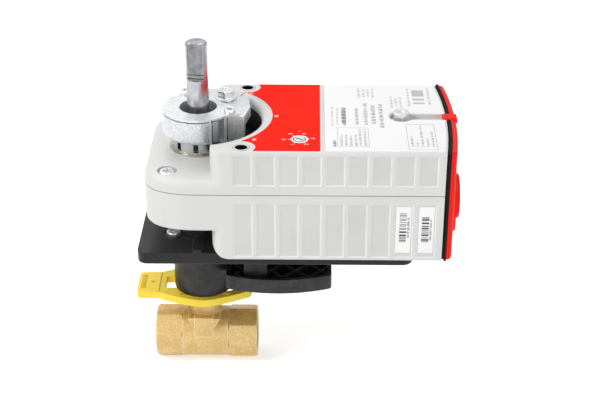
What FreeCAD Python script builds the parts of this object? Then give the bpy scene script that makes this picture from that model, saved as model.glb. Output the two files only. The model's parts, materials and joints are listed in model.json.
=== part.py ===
import FreeCAD, Part
import math
import os

V = FreeCAD.Vector
os.makedirs("parts", exist_ok=True)

# Spring-return rotary actuator on a two-way ball valve, all lengths in millimetres.
# Plan positions are measured from the stem axis and heights from the pipe axis.
# On export everything moves so that the origin is the centre of the inlet face.
# +X runs along the pipe towards the wiring cover, +Z up the stem.

# valve
inlet_length = 33.2
outlet_length = 36.0
octagon_flats = 33.5
octagon_chamfer = 1.4
body_left = 14.8
body_right = 16.2
body_radius = 17.2
tail_turn = 25.0
port_radius = 12.0
port_depth = 14.0
passage_radius = 9.5
ball_radius = 12.6
ball_bore = 8.5
cavity_radius = 14.2
seat_radius = 12.5
seat_reach = 13.0
seat_lip = 8.0
seat_gap = 0.25
tail_thread = 15.0
tail_thread_from = 8.9
pad_half = 6.4
pad_front = 16.9
pad_low = 5.0
pad_high = 20.0
throat_low = 10.5
throat_high = 19.0
throat_step = 1.2
belly_recess = 1.2
insert_thick = 2.0
insert_slot = 3.2
insert_edge = 1.6
tang_half = 1.9
tang_depth = 3.0
tang_gap = 0.02

# bonnet, stem and release clip
boss_radius = 11.5
boss_top = 33.3
post_radius = 9.0
clip_gap = 0.25
clip_thick = 5.2
bonnet_flange_radius = 11.0
bonnet_flange_thick = 3.0
stem_radius = 4.5
stem_running = 0.05
stem_top = 60.0
stem_flat_depth = 1.0
seal_depth = 0.8
seal_height = 1.8
gland_flats = 16.0
gland_height = 4.0
clip_travel = 14.0
clip_tab_left = 44.8
clip_tab_half = 12.8
clip_neck_x = 30.0
clip_neck_half = 13.4
clip_eye_half = 24.2
clip_tip_x = 32.5
clip_tip_half = 8.5
clip_ridge = 0.7
clip_window_from = 26.0
clip_window_to = 18.5
clip_window_half = 7.3
clip_corner = 3.0
clip_left_mid = (-13.8, 20.3)
clip_right_mid = (17.9, 18.0)
clip_eye_x = 1.5
clip_post_gap = 0.4
clip_eye_round = 18.0
clip_nose_round = 2.5
hook_half = 3.0
hook_y = 15.0
hook_thick = 2.4
hook_foot = 1.0

# bracket
plate_left = 38.4
plate_right = 137.6
plate_half = 46.0
plate_thick = 8.6
plate_corner = 6.0
plate_end_corner = 7.0
plate_edge_round = 1.6
plate_top_round = 0.8
neck_radius = 19.8
neck_bore = 11.6
spigot_radius = 15.0
spigot_height = 5.0
tray_left = 17.0
tray_right = 86.0
tray_peak_x = 41.0
tray_side_half = 34.4
tray_peak_half = 40.0
tray_floor = 54.9
tray_height = 10.1
tray_wall = 2.6
tray_rib = 1.8
tray_rib_height = 6.5
tray_rib_step = 17.0
tray_corner = 3.5
post_left = 29.0
post_width = 15.0
post_thick = 6.0
drop_x = -17.1
drop_y = 20.5
drop_radius = 6.6
drop_length = 16.0
drop_depth = 0.7
drop_wall = 1.1
drop_tail = 4.0
plate_screw_length = 6.5
post_screw_length = 13.0
post_screw_sink = 3.4
tab_width = 6.4
tab_length = 15.0
tab_rise = 1.4
tab_front = 45.2
tab_corner = 1.2

# housing
seam_height = 133.5
top_rise = 29.4
box_drop = 45.4
half_width = 53.3
hub_left = 32.3
hub_drop = 25.6
deck_rise = 9.0
box_left = 10.2
end_x = 154.4
end_bulge = 3.6
shell = 2.2
hub_corner = 21.0
box_corner = 7.0
low_corner = 11.0
deck_round = 4.5
hub_low_round = 2.0
top_round = 1.8
well_radius = 40.5
well_wall = 3.2
well_rim = 5.0
panel_end_margin = 4.6
panel_first = 24.6
panel_pitch = 14.25
panel_width = 10.6
panel_depth = 0.6
panel_bevel = 0.8
upper_panel_low = 7.0
upper_panel_high = 26.3
lower_panel_low = 43.0
lower_panel_high = 6.9
window_side = 13.3
window_low = 33.0
window_high = 20.0
corner_hole_x = 29.5
corner_inset = 7.0
corner_hole_radius = 3.9
corner_boss = 6.0
corner_seat = 3.0
deck_screw_x = -17.4
deck_screw_inset = 16.3
deck_recess_radius = 6.2
deck_recess_depth = 2.6
deck_boss = 7.6
board_post_radius = 3.5

# labels
label_thick = 0.25
label_margin = 2.0
label_arc = 47.4
label_left = 33.0
red_right = 77.6
white_left = 80.8
label_end_gap = 1.2
label_hole_radius = 8.6
label_notch = 34.5
sticker_width = 9.4
sticker_height = 32.5
sticker_top = 7.6
sticker_thick = 0.2

# wiring cover, its seal and its screw
seal_thick = 1.6
seal_inset = 0.7
seal_frame = 4.0
cover_thick = 4.4
cover_wall = 2.2
cover_corner = 4.0
cover_round = 1.5
cover_pad_round = 1.0
cover_pad_low = 28.5
cover_pad_high = 0.5
cover_pad_side = 8.3
cover_pad_rise = 1.4
tongue_half = 5.0
tongue_reach = 5.6
tongue_rise = 1.0
tongue_round = 1.2
conduit_radius = 11.1
conduit_boss = 14.2
conduit_boss_out = 0.4
conduit_boss_in = 1.1
conduit_y = 24.0
conduit_drop = 14.5
groove_half = 4.3
groove_depth = 2.8
recess_x = 129.4
recess_radius = 7.4
recess_depth = 3.0
recess_boss = 2.0
cover_post = 4.2

# output train
hub_radius = 17.5
hub_waist = 15.5
hub_foot = 13.6
hub_bore = 12.0
hub_running = 0.06
hub_low_gap = 0.3
collar_rise = 3.5
hub_gear_step = 1.1
hub_slots = 9
hub_slot_turn = 27.3
slot_width = 3.2
slot_depth = 2.2
slot_floor_rise = 2.1
insert_radius = 7.0
insert_sink = 4.5
ring_radius = 19.2
ring_thick = 0.8
ring_barrel = 18.6
foot_ring_thick = 0.9
foot_ring_radius = 16.3
foot_barrel = 14.9
foot_boss = 17.4
shaft_radius = 7.0
shaft_top = 213.6
shaft_low = 48.0
shaft_flat = 4.9
shaft_flat_length = 24.6
shaft_flat_turn = -8.0
shaft_round = 1.8
shaft_grooves = 2
shaft_groove_step = 2.6
shaft_groove_width = 0.7
shaft_groove_depth = 0.35
bushing_height = 8.0

# shaft adapter
pointer_turn = 45.0
drum_radius = 22.9
drum_rise = 9.3
drum_round = 3.0
adapter_height = 16.2
adapter_bore = 12.0
cap_thick = 1.5
lobe_rise = 9.3
ear_drop = 2.4
ear_face = 5.8
lobe_tip = 38.5
lobe_half = [(12.4, 29.7), (25.9, 21.0), (33.6, 11.0), (37.9, 3.5)]
cap_ear = [(0.0, 10.0), (-6.0, 21.5), (2.5, 22.6), (11.6, 27.4), (14.9, 22.6), (15.2, 15.2), (12.0, 6.0)]
cap_right = 15.5
cap_groove = 0.6
cap_groove_height = 0.7
notch_depth = 5.0
notch_width = 5.5
cap_screw_x = 8.0
cap_screw_y = 21.3
cap_screw_head = 3.8
cap_screw_radius = 1.7
cap_screw_length = 9.5
bolt_offset = 23.7
bolt_flange = 6.9
bolt_flats = 10.0
bolt_head = 6.2
bolt_radius = 3.0
bolt_length = 14.0

# gear train
pressure_angle = 25.0
backlash = 0.22
output_module = 1.0
output_teeth = 56
output_clear = 1.6
output_width = 8.0
pinion_teeth = 14
second_module = 0.8
second_wheel_teeth = 40
second_clear = 2.0
second_width = 4.5
third_pinion_teeth = 12
third_module = 0.6
third_wheel_teeth = 48
third_clear = 2.5
third_width = 3.8
third_turn = -25.0
motor_teeth = 12
motor_turn = 20.0
second_boss = 4.4
third_boss = 3.2
sensor_turn = -80.0
sensor_width = 3.0
arbor_radius = 2.5
small_arbor = 1.5
motor_arbor = 1.0
arbor_running = 0.05
gear_plate_rise = 4.7
gear_plate_thick = 1.8
gear_plate_clear = 1.2
gear_plate_left = 21.0
gear_plate_right = 92.0
gear_plate_half = 19.0
gear_plate_wide = 26.0
gear_post = 2.5
gear_post_inset = 4.0
third_post_x = 62.0
barrel_radius = 17.2
barrel_rise = 2.0
barrel_pad = 9.0
barrel_wall = 1.7
spring_start = 5.2
spring_strip = 0.55
spring_pitch = 1.5
spring_room = 0.4
spring_height = 16.0
spring_drum = 4.3
motor_radius = 14.0
motor_height = 20.0
motor_round = 1.5
motor_boss = 5.0
sensor_side = 12.0
sensor_height = 5.4

# electronics
board_left = 50.0
board_right = 147.0
board_margin = 7.3
board_rise = 12.5
board_thick = 1.6
board_post_inset = 5.0
board_post_left = 56.0
board_post_right = 142.0
knob_x = 64.9
knob_inset = 18.5
knob_radius = 3.5
knob_gap = 0.35
knob_slot = 1.0
knob_turn = 150.0
knob_height = 4.5
knob_stalk = 1.5
switch_side = 10.0
switch_height = 7.0
terminal_length = 52.0
terminal_depth = 11.0
terminal_height = 9.0
terminal_ways = 10
chip_x = 92.0
chip_y = 8.0
chip_side = 14.0
chip_height = 2.0

# screws
housing_screw_head = 3.5
deck_screw_head = 5.2
housing_screw_radius = 2.0
bracket_screw_head = 4.6
bracket_screw_radius = 2.4
housing_screw_length = 14.0
screw_round = 0.45
drive_width = 0.16
drive_reach = 0.55
drive_depth = 0.6
flange_thick = 1.3
cover_bolt_flange = 6.0
cover_bolt_flats = 9.6
cover_bolt_head = 6.6
cover_bolt_length = 9.0
cover_bolt_radius = 2.5

top_z = seam_height + top_rise
deck_z = seam_height + deck_rise
box_low = seam_height - box_drop
hub_floor = seam_height - hub_drop
hub_low = hub_floor + hub_low_gap
hub_collar = seam_height + collar_rise
slot_floor = deck_z + slot_floor_rise
insert_top = deck_z - insert_sink
drum_low = deck_z + drum_rise
adapter_top = drum_low + adapter_height
lobe_low = drum_low + lobe_rise
ear_low = drum_low - ear_drop
gear_plate_low = hub_floor + gear_plate_rise
output_low = gear_plate_low + gear_plate_thick + output_clear
second_low = output_low + output_width + second_clear
third_low = second_low + second_width + third_clear
gear_plate_top = third_low + third_width + gear_plate_clear
board_low = seam_height + board_rise
board_half = half_width - board_margin
board_post_y = board_half - board_post_inset
window_half = half_width - window_side
corner_hole_y = half_width - corner_inset
deck_screw_y = half_width - deck_screw_inset
label_front = half_width - label_margin
cover_pad_half = half_width - cover_pad_side
panel_room = end_x - panel_end_margin - panel_width - panel_first
panel_count = int(panel_room / panel_pitch) + 1
knob_y = knob_inset - half_width
barrel_low = box_low + shell + barrel_rise
plate_low = box_low - plate_thick
clip_low = boss_top + clip_gap
neck_low = clip_low + clip_thick + clip_gap
flange_top = neck_low + bonnet_flange_thick
second_x = (output_teeth + pinion_teeth) * output_module / 2.0
third_gap = (second_wheel_teeth + third_pinion_teeth) * second_module / 2.0
motor_gap = (third_wheel_teeth + motor_teeth) * third_module / 2.0
sensor_gap = (output_teeth + pinion_teeth) * output_module / 2.0


def turned(length, angle):
    return length * math.cos(math.radians(angle)), length * math.sin(math.radians(angle))


third_dx, third_dy = turned(third_gap, third_turn)
third_x = second_x + third_dx
third_y = third_dy
motor_dx, motor_dy = turned(motor_gap, motor_turn)
motor_x = third_x + motor_dx
motor_y = third_y + motor_dy
sensor_x, sensor_y = turned(sensor_gap, sensor_turn)


def cyl(r, z0, z1, x=0.0, y=0.0):
    return Part.makeCylinder(r, z1 - z0, V(x, y, z0))


def tube(r_out, r_in, z0, z1, x=0.0, y=0.0):
    return cyl(r_out, z0, z1, x, y).cut(cyl(r_in, z0 - 1, z1 + 1, x, y))


def rod_x(r, x0, x1):
    return Part.makeCylinder(r, x1 - x0, V(x0, 0, 0), V(1, 0, 0))


def box(x0, x1, y0, y1, z0, z1):
    return Part.makeBox(x1 - x0, abs(y1 - y0), z1 - z0, V(x0, min(y0, y1), z0))


def join(first, *others):
    return first.fuse(list(others)).removeSplitter()


def prism(points, z0, z1):
    corners = [V(x, y, z0) for x, y in points]
    wire = Part.makePolygon(corners + [corners[0]])
    return Part.Face(wire).extrude(V(0, 0, z1 - z0))


def side_prism(points, y0, y1):
    corners = [V(x, y0, z) for x, z in points]
    wire = Part.makePolygon(corners + [corners[0]])
    return Part.Face(wire).extrude(V(0, y1 - y0, 0))


def mirror_y(shape):
    return shape.mirror(V(0, 0, 0), V(0, 1, 0))


def spun(shape, angle):
    copy = shape.copy()
    copy.rotate(V(0, 0, 0), V(0, 0, 1), angle)
    return copy


def round_where(shape, radius, test):
    edges = [e for e in shape.Edges if test(e)]
    return shape.makeFillet(radius, edges)


def is_vertical(edge):
    a = edge.Vertexes[0].Point
    b = edge.Vertexes[-1].Point
    return abs(a.x - b.x) < 1e-6 and abs(a.y - b.y) < 1e-6 and abs(a.z - b.z) > 1e-3


def at_height(edge, z):
    box_of = edge.BoundBox
    return abs(box_of.ZMin - z) < 1e-4 and abs(box_of.ZMax - z) < 1e-4


def hexagon(flats, z0, z1, x=0.0, y=0.0, sides=6, turn=0.0):
    reach = flats / 2.0 / math.cos(math.pi / sides)
    points = []
    for k in range(sides):
        a = math.radians(turn) + 2 * math.pi * (k + 0.5) / sides
        points.append((x + reach * math.cos(a), y + reach * math.sin(a)))
    return prism(points, z0, z1)


def octagon_end(x0, x1, turn):
    solid = hexagon(octagon_flats, x0, x1, sides=8, turn=turn)
    reach = octagon_flats / 2.0 / math.cos(math.pi / 8)
    core = cyl(reach + 0.01, x0, x1)
    core = core.makeChamfer(octagon_chamfer, [e for e in core.Edges if len(e.Vertexes) == 1])
    solid = solid.common(core)
    solid.rotate(V(0, 0, 0), V(0, 1, 0), 90)
    return solid


def sphere(r):
    return Part.makeSphere(r, V(0, 0, 0), V(0, 0, 1), -90, 90, 360)


# valve: body, tail piece, seats, ball, flow insert
body = join(
    octagon_end(-inlet_length, -body_left, 0.0),
    rod_x(body_radius, -body_left, body_right),
    cyl(boss_radius, 0, boss_top),
    cyl(post_radius, 0, neck_low),
    cyl(bonnet_flange_radius, neck_low, flange_top),
)
for side in (-1, 1):
    pad = box(-pad_half, pad_half, 0, side * pad_front, pad_low, pad_high)
    wide = boss_radius - 0.5
    funnel = [(-wide, throat_high), (wide, throat_high), (pad_half, throat_low), (-pad_half, throat_low)]
    throat = side_prism(funnel, 0, side * (pad_front - throat_step))
    body = body.fuse([pad, throat])
body = body.cut(box(-pad_half, pad_half, -30, 30, -body_radius - 1, -body_radius + belly_recess))
body = body.cut([
    rod_x(port_radius, -inlet_length - 1, -inlet_length + port_depth),
    rod_x(passage_radius, -inlet_length, 0),
    rod_x(seat_radius, -seat_reach, 0),
    rod_x(cavity_radius, -seat_lip - 0.6, tail_thread_from),
    rod_x(tail_thread, tail_thread_from - 0.4, body_right + 1),
    cyl(stem_radius + stem_running, 0, flange_top + 1),
])

tail = join(
    octagon_end(body_right, outlet_length, tail_turn),
    rod_x(tail_thread, tail_thread_from, body_right + 1),
)
tail = tail.cut([
    rod_x(seat_radius, tail_thread_from - 1, seat_reach),
    rod_x(passage_radius, 0, outlet_length),
    rod_x(port_radius, outlet_length - port_depth, outlet_length + 1),
])

ball = sphere(ball_radius).cut(Part.makeCylinder(ball_bore, 60, V(0, -30, 0), V(0, 1, 0)))
tang_low = ball_radius - tang_depth
ball = ball.cut(box(-ball_radius, ball_radius, -tang_half, tang_half, tang_low, ball_radius + 5))


def seat(side):
    ring = rod_x(seat_radius, seat_lip, seat_reach).cut(rod_x(ball_bore, 0, seat_reach + 1))
    ring = ring.cut(sphere(ball_radius + seat_gap))
    if side < 0:
        ring = ring.mirror(V(0, 0, 0), V(1, 0, 0))
    return ring


insert_x = -inlet_length + port_depth
insert_end = insert_x + insert_thick
insert = rod_x(passage_radius, insert_x, insert_end)
insert = insert.cut([
    box(insert_x - 1, insert_end + 1, -insert_slot, insert_slot, 0, passage_radius - insert_edge),
    rod_x(insert_slot + 0.6, insert_x - 1, insert_end + 1),
])

# stem with two seals, gland nut and drive shaft
def flat_side(turn, low):
    wedge = box(stem_radius - stem_flat_depth, stem_radius + 2, -stem_radius, stem_radius, low, stem_top + 1)
    return spun(wedge, turn)


stem_groove = stem_radius - seal_depth
seal_heights = [boss_top - 8.0, boss_top - 1.0]
stem = cyl(stem_radius, ball_radius + 0.6, stem_top)
tang_side = tang_half - tang_gap
tang = box(-stem_radius, stem_radius, -tang_side, tang_side, tang_low + 0.1, ball_radius + 1)
stem = join(stem, tang.common(cyl(stem_radius, 0, boss_top)))
for z in seal_heights:
    stem = stem.cut(tube(stem_radius + 1, stem_groove, z, z + seal_height))
for turn in (0, 180):
    stem = stem.cut(flat_side(turn, shaft_low))

seals = [tube(stem_radius, stem_groove, z, z + seal_height) for z in seal_heights]
gland = hexagon(gland_flats, flange_top, flange_top + gland_height)
gland = gland.cut(cyl(stem_radius + 2 * stem_running, 0, 100))

shaft = cyl(shaft_radius, shaft_low, shaft_top)
shaft = round_where(shaft, shaft_round, lambda e: at_height(e, shaft_top))
flat_low = shaft_top - shaft_flat_length
milled = box(-20, 20, -shaft_radius - 2, -shaft_flat, flat_low, shaft_top + 2)
for k in range(shaft_grooves):
    z = flat_low + 0.9 + shaft_groove_step * k
    groove = box(-20, 20, -shaft_radius - 2, -shaft_flat + shaft_groove_depth, z, z + shaft_groove_width)
    milled = milled.fuse(groove)
shaft = shaft.cut(spun(milled, shaft_flat_turn))
socket = cyl(stem_radius, shaft_low - 1, stem_top + 0.5)
for turn in (0, 180):
    socket = socket.cut(flat_side(turn, shaft_low - 2))
shaft = shaft.cut(socket)


# release clip: slides towards -X to free the bracket from the bonnet groove
def arc(a, b, c):
    return Part.Arc(V(a[0], a[1], 0), V(b[0], b[1], 0), V(c[0], c[1], 0)).toShape()


def line(a, b):
    return Part.makeLine(V(a[0], a[1], 0), V(b[0], b[1], 0))


def plate_from(edges, z0, z1):
    face = Part.Face(Part.Wire(Part.__sortEdges__(edges)))
    solid = face.extrude(V(0, 0, z1 - z0))
    solid.translate(V(0, 0, z0))
    return solid


clip_edges = []
for s in (1, -1):
    neck_point = (-clip_neck_x, s * clip_neck_half)
    eye_point = (clip_eye_x, s * clip_eye_half)
    nose_point = (clip_tip_x - 1.5, s * (clip_tip_half + 2.5))
    clip_edges += [
        line((-clip_tab_left, s * clip_tab_half), neck_point),
        arc(neck_point, (clip_left_mid[0], s * clip_left_mid[1]), eye_point),
        arc(eye_point, (clip_right_mid[0], s * clip_right_mid[1]), nose_point),
        line(nose_point, (clip_tip_x, s * clip_tip_half)),
    ]
clip_edges.append(line((-clip_tab_left, -clip_tab_half), (-clip_tab_left, clip_tab_half)))
clip_edges.append(line((clip_tip_x, -clip_tip_half), (clip_tip_x, clip_tip_half)))
clip = plate_from(clip_edges, clip_low, clip_low + clip_thick)
clip = round_where(clip, clip_corner, lambda e: is_vertical(e) and e.BoundBox.XMin < -clip_tab_left + 0.01)
clip = round_where(clip, clip_eye_round,
                   lambda e: is_vertical(e) and abs(e.BoundBox.XMin - clip_eye_x) < 0.01)
clip = round_where(clip, clip_nose_round, lambda e: is_vertical(e) and e.BoundBox.XMin > clip_tip_x - 0.01)
post_pass = post_radius + clip_post_gap
flange_pass = bonnet_flange_radius + 0.5
clip = clip.cut([
    cyl(post_pass, 0, 60),
    box(0, clip_travel, -post_pass, post_pass, 0, 60),
    cyl(flange_pass, 0, 60, clip_travel),
    box(-clip_window_from, -clip_window_to, -clip_window_half, clip_window_half, 0, 60),
])
hook_pass = hook_half + 0.6
hook_side = hook_thick / 2 + 0.45
for s in (-1, 1):
    clip = clip.cut(box(2 - clip_travel - hook_pass, clip_travel + hook_pass + 0.5,
                        s * hook_y - hook_side, s * hook_y + hook_side, 0, 60))
clip_high = clip_low + clip_thick
ridge_half = clip_tab_half - 0.6
ridge = box(-clip_neck_x - 1.2, -clip_neck_x, -ridge_half, ridge_half, clip_high - 0.5,
            clip_high + clip_ridge)
clip = join(clip, ridge)

# bracket: top plate, neck moulding with ribbed tray, bushing
plate = box(-plate_left, plate_right, -plate_half, plate_half, plate_low, box_low)
plate = round_where(plate, plate_corner, lambda e: is_vertical(e) and e.BoundBox.XMin < 0)
plate = round_where(plate, plate_end_corner, lambda e: is_vertical(e) and e.BoundBox.XMin > 0)
plate = round_where(plate, plate_edge_round, lambda e: at_height(e, plate_low))
plate = round_where(plate, plate_top_round, lambda e: at_height(e, box_low))
plate = plate.cut([
    cyl(spigot_radius, plate_low - 1, plate_low + spigot_height),
    cyl(neck_bore, 0, box_low + 1),
])
for s in (-1, 1):
    drop_low = box_low - drop_depth
    inner_point = (drop_x - 1.0, s * (drop_y - drop_radius + 0.1))
    outer_point = (drop_x, s * (drop_y + drop_radius))
    tail_point = (drop_x + drop_length, s * (drop_y + drop_tail))
    drop = cyl(drop_radius, drop_low, box_low + 1, drop_x, s * drop_y)
    drop = drop.fuse(prism([inner_point, tail_point, outer_point], drop_low, box_low + 1))
    drop = drop.cut(cyl(drop_radius - drop_wall, 0, 200, drop_x, s * drop_y))
    plate = plate.cut([
        drop,
        cyl(bracket_screw_radius, box_low - plate_screw_length - 0.5, box_low + 1, drop_x, s * drop_y),
    ])
    tab = box(-tab_width / 2, tab_width / 2, s * tab_front, s * (tab_front - tab_length), box_low - 1,
              box_low + tab_rise)
    plate = plate.fuse(round_where(tab, tab_corner, is_vertical))

tray_edges = []
for s in (1, -1):
    tray_edges.append(arc((tray_left, -s * tray_side_half), (tray_peak_x, -s * tray_peak_half),
                          (tray_right, -s * (tray_side_half - 1.0))))
tray_edges.append(line((tray_left, -tray_side_half), (tray_left, tray_side_half)))
tray_edges.append(line((tray_right, -tray_side_half + 1.0), (tray_right, tray_side_half - 1.0)))
tray = plate_from(tray_edges, tray_floor, tray_floor + tray_height)
tray = round_where(tray, tray_corner, is_vertical)
pocket = tray.makeOffsetShape(-tray_wall, 0.01)
pocket.translate(V(0, 0, tray_wall))
pocket_top = pocket.copy()
pocket_top.translate(V(0, 0, tray_wall))
tray = tray.cut([pocket, pocket_top])
neck = join(
    cyl(neck_radius, neck_low, plate_low),
    cyl(spigot_radius, neck_low, plate_low + spigot_height),
    tray,
)
rib_low = tray_floor + 1
rib_high = tray_floor + tray_wall + tray_rib_height
rib_box = box(tray_left + 1, tray_right - 1, -tray_side_half + 1, tray_side_half - 1, rib_low, rib_high)
ribs = []
for k in range(-3, 8):
    for lean in (45, -45):
        rib = spun(box(-90, 90, -tray_rib / 2, tray_rib / 2, rib_low, rib_high), lean)
        rib.translate(V(neck_radius + k * tray_rib_step, 0, 0))
        ribs.append(rib)
ribs = ribs[0].fuse(ribs[1:]).common(rib_box)
neck = neck.fuse(ribs)
post_out = tray_side_half - 1.0
post_in = post_out - post_thick
neck = join(neck, *[box(post_left, post_left + post_width, s * post_out, s * post_in, rib_low, plate_low)
                    for s in (-1, 1)])
hook_in = hook_y - hook_thick / 2
hook_out = hook_y + hook_thick / 2
hook_high = clip_low - clip_gap
for s in (-1, 1):
    hook = box(-hook_half, hook_half, s * hook_in, s * hook_out, hook_high - hook_foot, neck_low + 1)
    foot = box(-hook_half, hook_half, s * hook_in, s * (hook_out + 1.4), hook_high - hook_foot, hook_high)
    neck = neck.fuse([hook, foot])
neck = neck.cut(cyl(neck_bore, 0, box_low + 1)).removeSplitter()
post_screw_x = post_left + post_width / 2
post_screw_y = (post_out + post_in) / 2
post_screw_low = box_low - post_screw_sink
for s in (-1, 1):
    neck = neck.cut(cyl(bracket_screw_radius, plate_low - 9, plate_low + 1, post_screw_x, s * post_screw_y))
    plate = plate.cut([
        cyl(bracket_screw_radius, plate_low - 1, box_low + 1, post_screw_x, s * post_screw_y),
        cyl(bracket_screw_head + 0.3, post_screw_low, box_low + 1, post_screw_x, s * post_screw_y),
    ])
bushing = tube(neck_bore, shaft_radius + arbor_running, plate_low - 2, plate_low - 2 + bushing_height)

# housing: two shells that meet at the seam
def plan_face(inset):
    r = half_width - inset
    left = -hub_left + inset
    side = math.sqrt(r * r - left * left)
    right = end_x - inset
    half_angle = (math.pi / 2 + math.acos(left / r)) / 2
    mid = (r * math.cos(half_angle), r * math.sin(half_angle))
    edges = [
        line((left, side), (left, -side)),
        arc((left, -side), (mid[0], -mid[1]), (0, -r)),
        line((0, -r), (right, -r)),
        arc((right, -r), (right + end_bulge, 0), (right, r)),
        line((right, r), (0, r)),
        arc((0, r), mid, (left, side)),
    ]
    return Part.Face(Part.Wire(edges))


def slab(inset, z0, z1):
    solid = plan_face(inset).extrude(V(0, 0, z1 - z0))
    solid.translate(V(0, 0, z0))
    corner = max(hub_corner - inset, 2.0)
    left = -hub_left + inset + 0.01
    return round_where(solid, corner, lambda e: is_vertical(e) and e.BoundBox.XMax < left)


def right_part(inset, left, z0, z1, corner):
    solid = slab(inset, z0, z1).common(box(left, 400, -200, 200, z0 - 1, z1 + 1))
    return round_where(solid, corner, lambda e: is_vertical(e) and e.BoundBox.XMax < left + 0.01)


def panel_cut(left, z0, z1, side):
    b = panel_bevel
    right = left + panel_width
    sunk = Part.makeWedge(left - b, 0, z0 - b, z0, left, right + b, panel_depth, z1 + b, z1, right)
    sunk = sunk.fuse(box(left - b, right + b, -1, 0, z0 - b, z1 + b))
    sunk.translate(V(0, -half_width, 0))
    return sunk if side < 0 else mirror_y(sunk)


low_panels = []
high_panels = []
for k in range(panel_count):
    x = panel_first + panel_pitch * k
    for side in (-1, 1):
        low_panels.append(panel_cut(x, seam_height - lower_panel_low, seam_height - lower_panel_high, side))
        high_panels.append(panel_cut(x, seam_height + upper_panel_low, seam_height + upper_panel_high, side))


def tub(inset, high):
    left = box_left + inset
    low = box_low + inset
    block = side_prism([(left, low), (400, low), (400, high), (left, high)], -200, 200)
    block = round_where(block, low_corner - inset,
                        lambda e: e.BoundBox.XMax < left + 0.01 and at_height(e, low))
    return right_part(inset, left, low, high, box_corner - inset).common(block)


def is_side(edge):
    return edge.BoundBox.XMin < end_x - 2


hub_low_part = slab(0, hub_floor, seam_height)
hub_low_part = round_where(hub_low_part, hub_low_round, lambda e: at_height(e, hub_floor) and is_side(e))
lower = hub_low_part.fuse(tub(0, seam_height))
lower = lower.cut(slab(shell, hub_floor + shell, seam_height + 1).fuse(tub(shell, seam_height + 1)))
post_solids = []
for s in (-1, 1):
    post_solids.append(cyl(corner_boss, box_low + 1, seam_height, corner_hole_x, s * corner_hole_y))
    post_solids.append(cyl(deck_boss - 1, hub_floor + 1, seam_height, deck_screw_x, s * deck_screw_y))
    for x in (board_post_left, board_post_right):
        post_solids.append(cyl(board_post_radius, box_low + 1, board_low, x, s * board_post_y))
lower = lower.fuse([p.common(slab(shell / 2, box_low, top_z)) for p in post_solids])
lower = lower.fuse([
    cyl(foot_boss, hub_floor, hub_floor + shell),
    cyl(barrel_pad, box_low + 1, barrel_low, second_x),
])
lower = lower.cut(low_panels)
window = box(end_x - 8, end_x + 20, -window_half, window_half, seam_height - window_low,
             seam_height + window_high)
lower = lower.cut([
    window,
    cyl(foot_barrel, hub_floor, hub_floor + shell + 1),
    cyl(foot_barrel, hub_floor - 1, hub_floor + 1).common(box(-50, box_left, -50, 50, 0, 400)),
])
for s in (-1, 1):
    lower = lower.cut([
        cyl(housing_screw_radius, seam_height - 14, seam_height + 1, corner_hole_x, s * corner_hole_y),
        cyl(housing_screw_radius, seam_height - 10, seam_height + 1, deck_screw_x, s * deck_screw_y),
    ])

deck_part = slab(0, seam_height, deck_z)
deck_part = round_where(deck_part, deck_round, lambda e: at_height(e, deck_z) and is_side(e))
raised = right_part(0, box_left, seam_height, top_z, box_corner)
raised = round_where(raised, top_round, lambda e: at_height(e, top_z) and is_side(e))
rim_out = well_radius + well_rim
rim_mid = well_rim * (1 - math.sqrt(0.5))
rim_bend = Part.Arc(V(well_radius, 0, top_z - well_rim), V(well_radius + rim_mid, 0, top_z - rim_mid),
                    V(rim_out, 0, top_z)).toShape()
rim_points = [(rim_out, top_z), (rim_out, top_z + 2), (0, top_z + 2), (0, deck_z), (well_radius, deck_z),
              (well_radius, top_z - well_rim)]
rim_rest = Part.makePolygon([V(x, 0, z) for x, z in rim_points])
well = Part.Face(Part.Wire([rim_bend] + rim_rest.Edges)).revolve(V(0, 0, 0), V(0, 0, 1), 360)
upper = deck_part.fuse(raised).cut(well)
upper_room = slab(shell, seam_height - 1, deck_z - shell)
high_room = right_part(shell, box_left + shell, seam_height - 1, top_z - shell, box_corner - shell)
high_room = high_room.cut(cyl(well_radius + well_wall, 0, 400))
upper = upper.cut(upper_room.fuse(high_room))
upper_skin = slab(shell / 2, seam_height, top_z - shell / 2).common(
    right_part(shell / 2, box_left + shell / 2, seam_height, top_z - shell / 2, box_corner - shell / 2))
bosses = []
for s in (-1, 1):
    boss = cyl(corner_boss, seam_height, top_z - 1, corner_hole_x, s * corner_hole_y)
    bosses.append(boss.common(upper_skin))
    bosses.append(cyl(deck_boss, seam_height, deck_z - 1, deck_screw_x, s * deck_screw_y))
bosses.append(cyl(recess_radius + recess_boss, top_z - recess_depth - 2, top_z - 1, recess_x))
bosses.append(cyl(cover_post, board_low + board_thick + 0.4, top_z - 1, recess_x))
groove_floor = box(recess_x, end_x + end_bulge - 1, -groove_half - 2, groove_half + 2,
                   top_z - groove_depth - 2, top_z - 1)
bosses.append(groove_floor.common(upper_skin))
upper = upper.fuse(bosses)
upper = upper.cut(high_panels)
upper = upper.cut([
    window,
    cyl(ring_barrel, seam_height, deck_z + 1),
    cyl(recess_radius, top_z - recess_depth, top_z + 1, recess_x),
    box(recess_x, end_x + 20, -groove_half, groove_half, top_z - groove_depth, top_z + 1),
    cyl(cover_bolt_radius, board_low + board_thick + 2, top_z, recess_x),
    cyl(knob_radius + knob_gap, top_z - shell - 2, top_z + 1, knob_x, knob_y),
])
for s in (-1, 1):
    upper = upper.cut([
        cyl(corner_hole_radius, seam_height + corner_seat, top_z + 1, corner_hole_x, s * corner_hole_y),
        cyl(housing_screw_radius, seam_height - 1, top_z, corner_hole_x, s * corner_hole_y),
        cyl(deck_recess_radius, deck_z - deck_recess_depth, deck_z + 1, deck_screw_x, s * deck_screw_y),
        cyl(housing_screw_radius, seam_height - 1, deck_z, deck_screw_x, s * deck_screw_y),
    ])

# labels and stickers
end_radius = (half_width ** 2 + end_bulge ** 2) / (2 * end_bulge)


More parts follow.
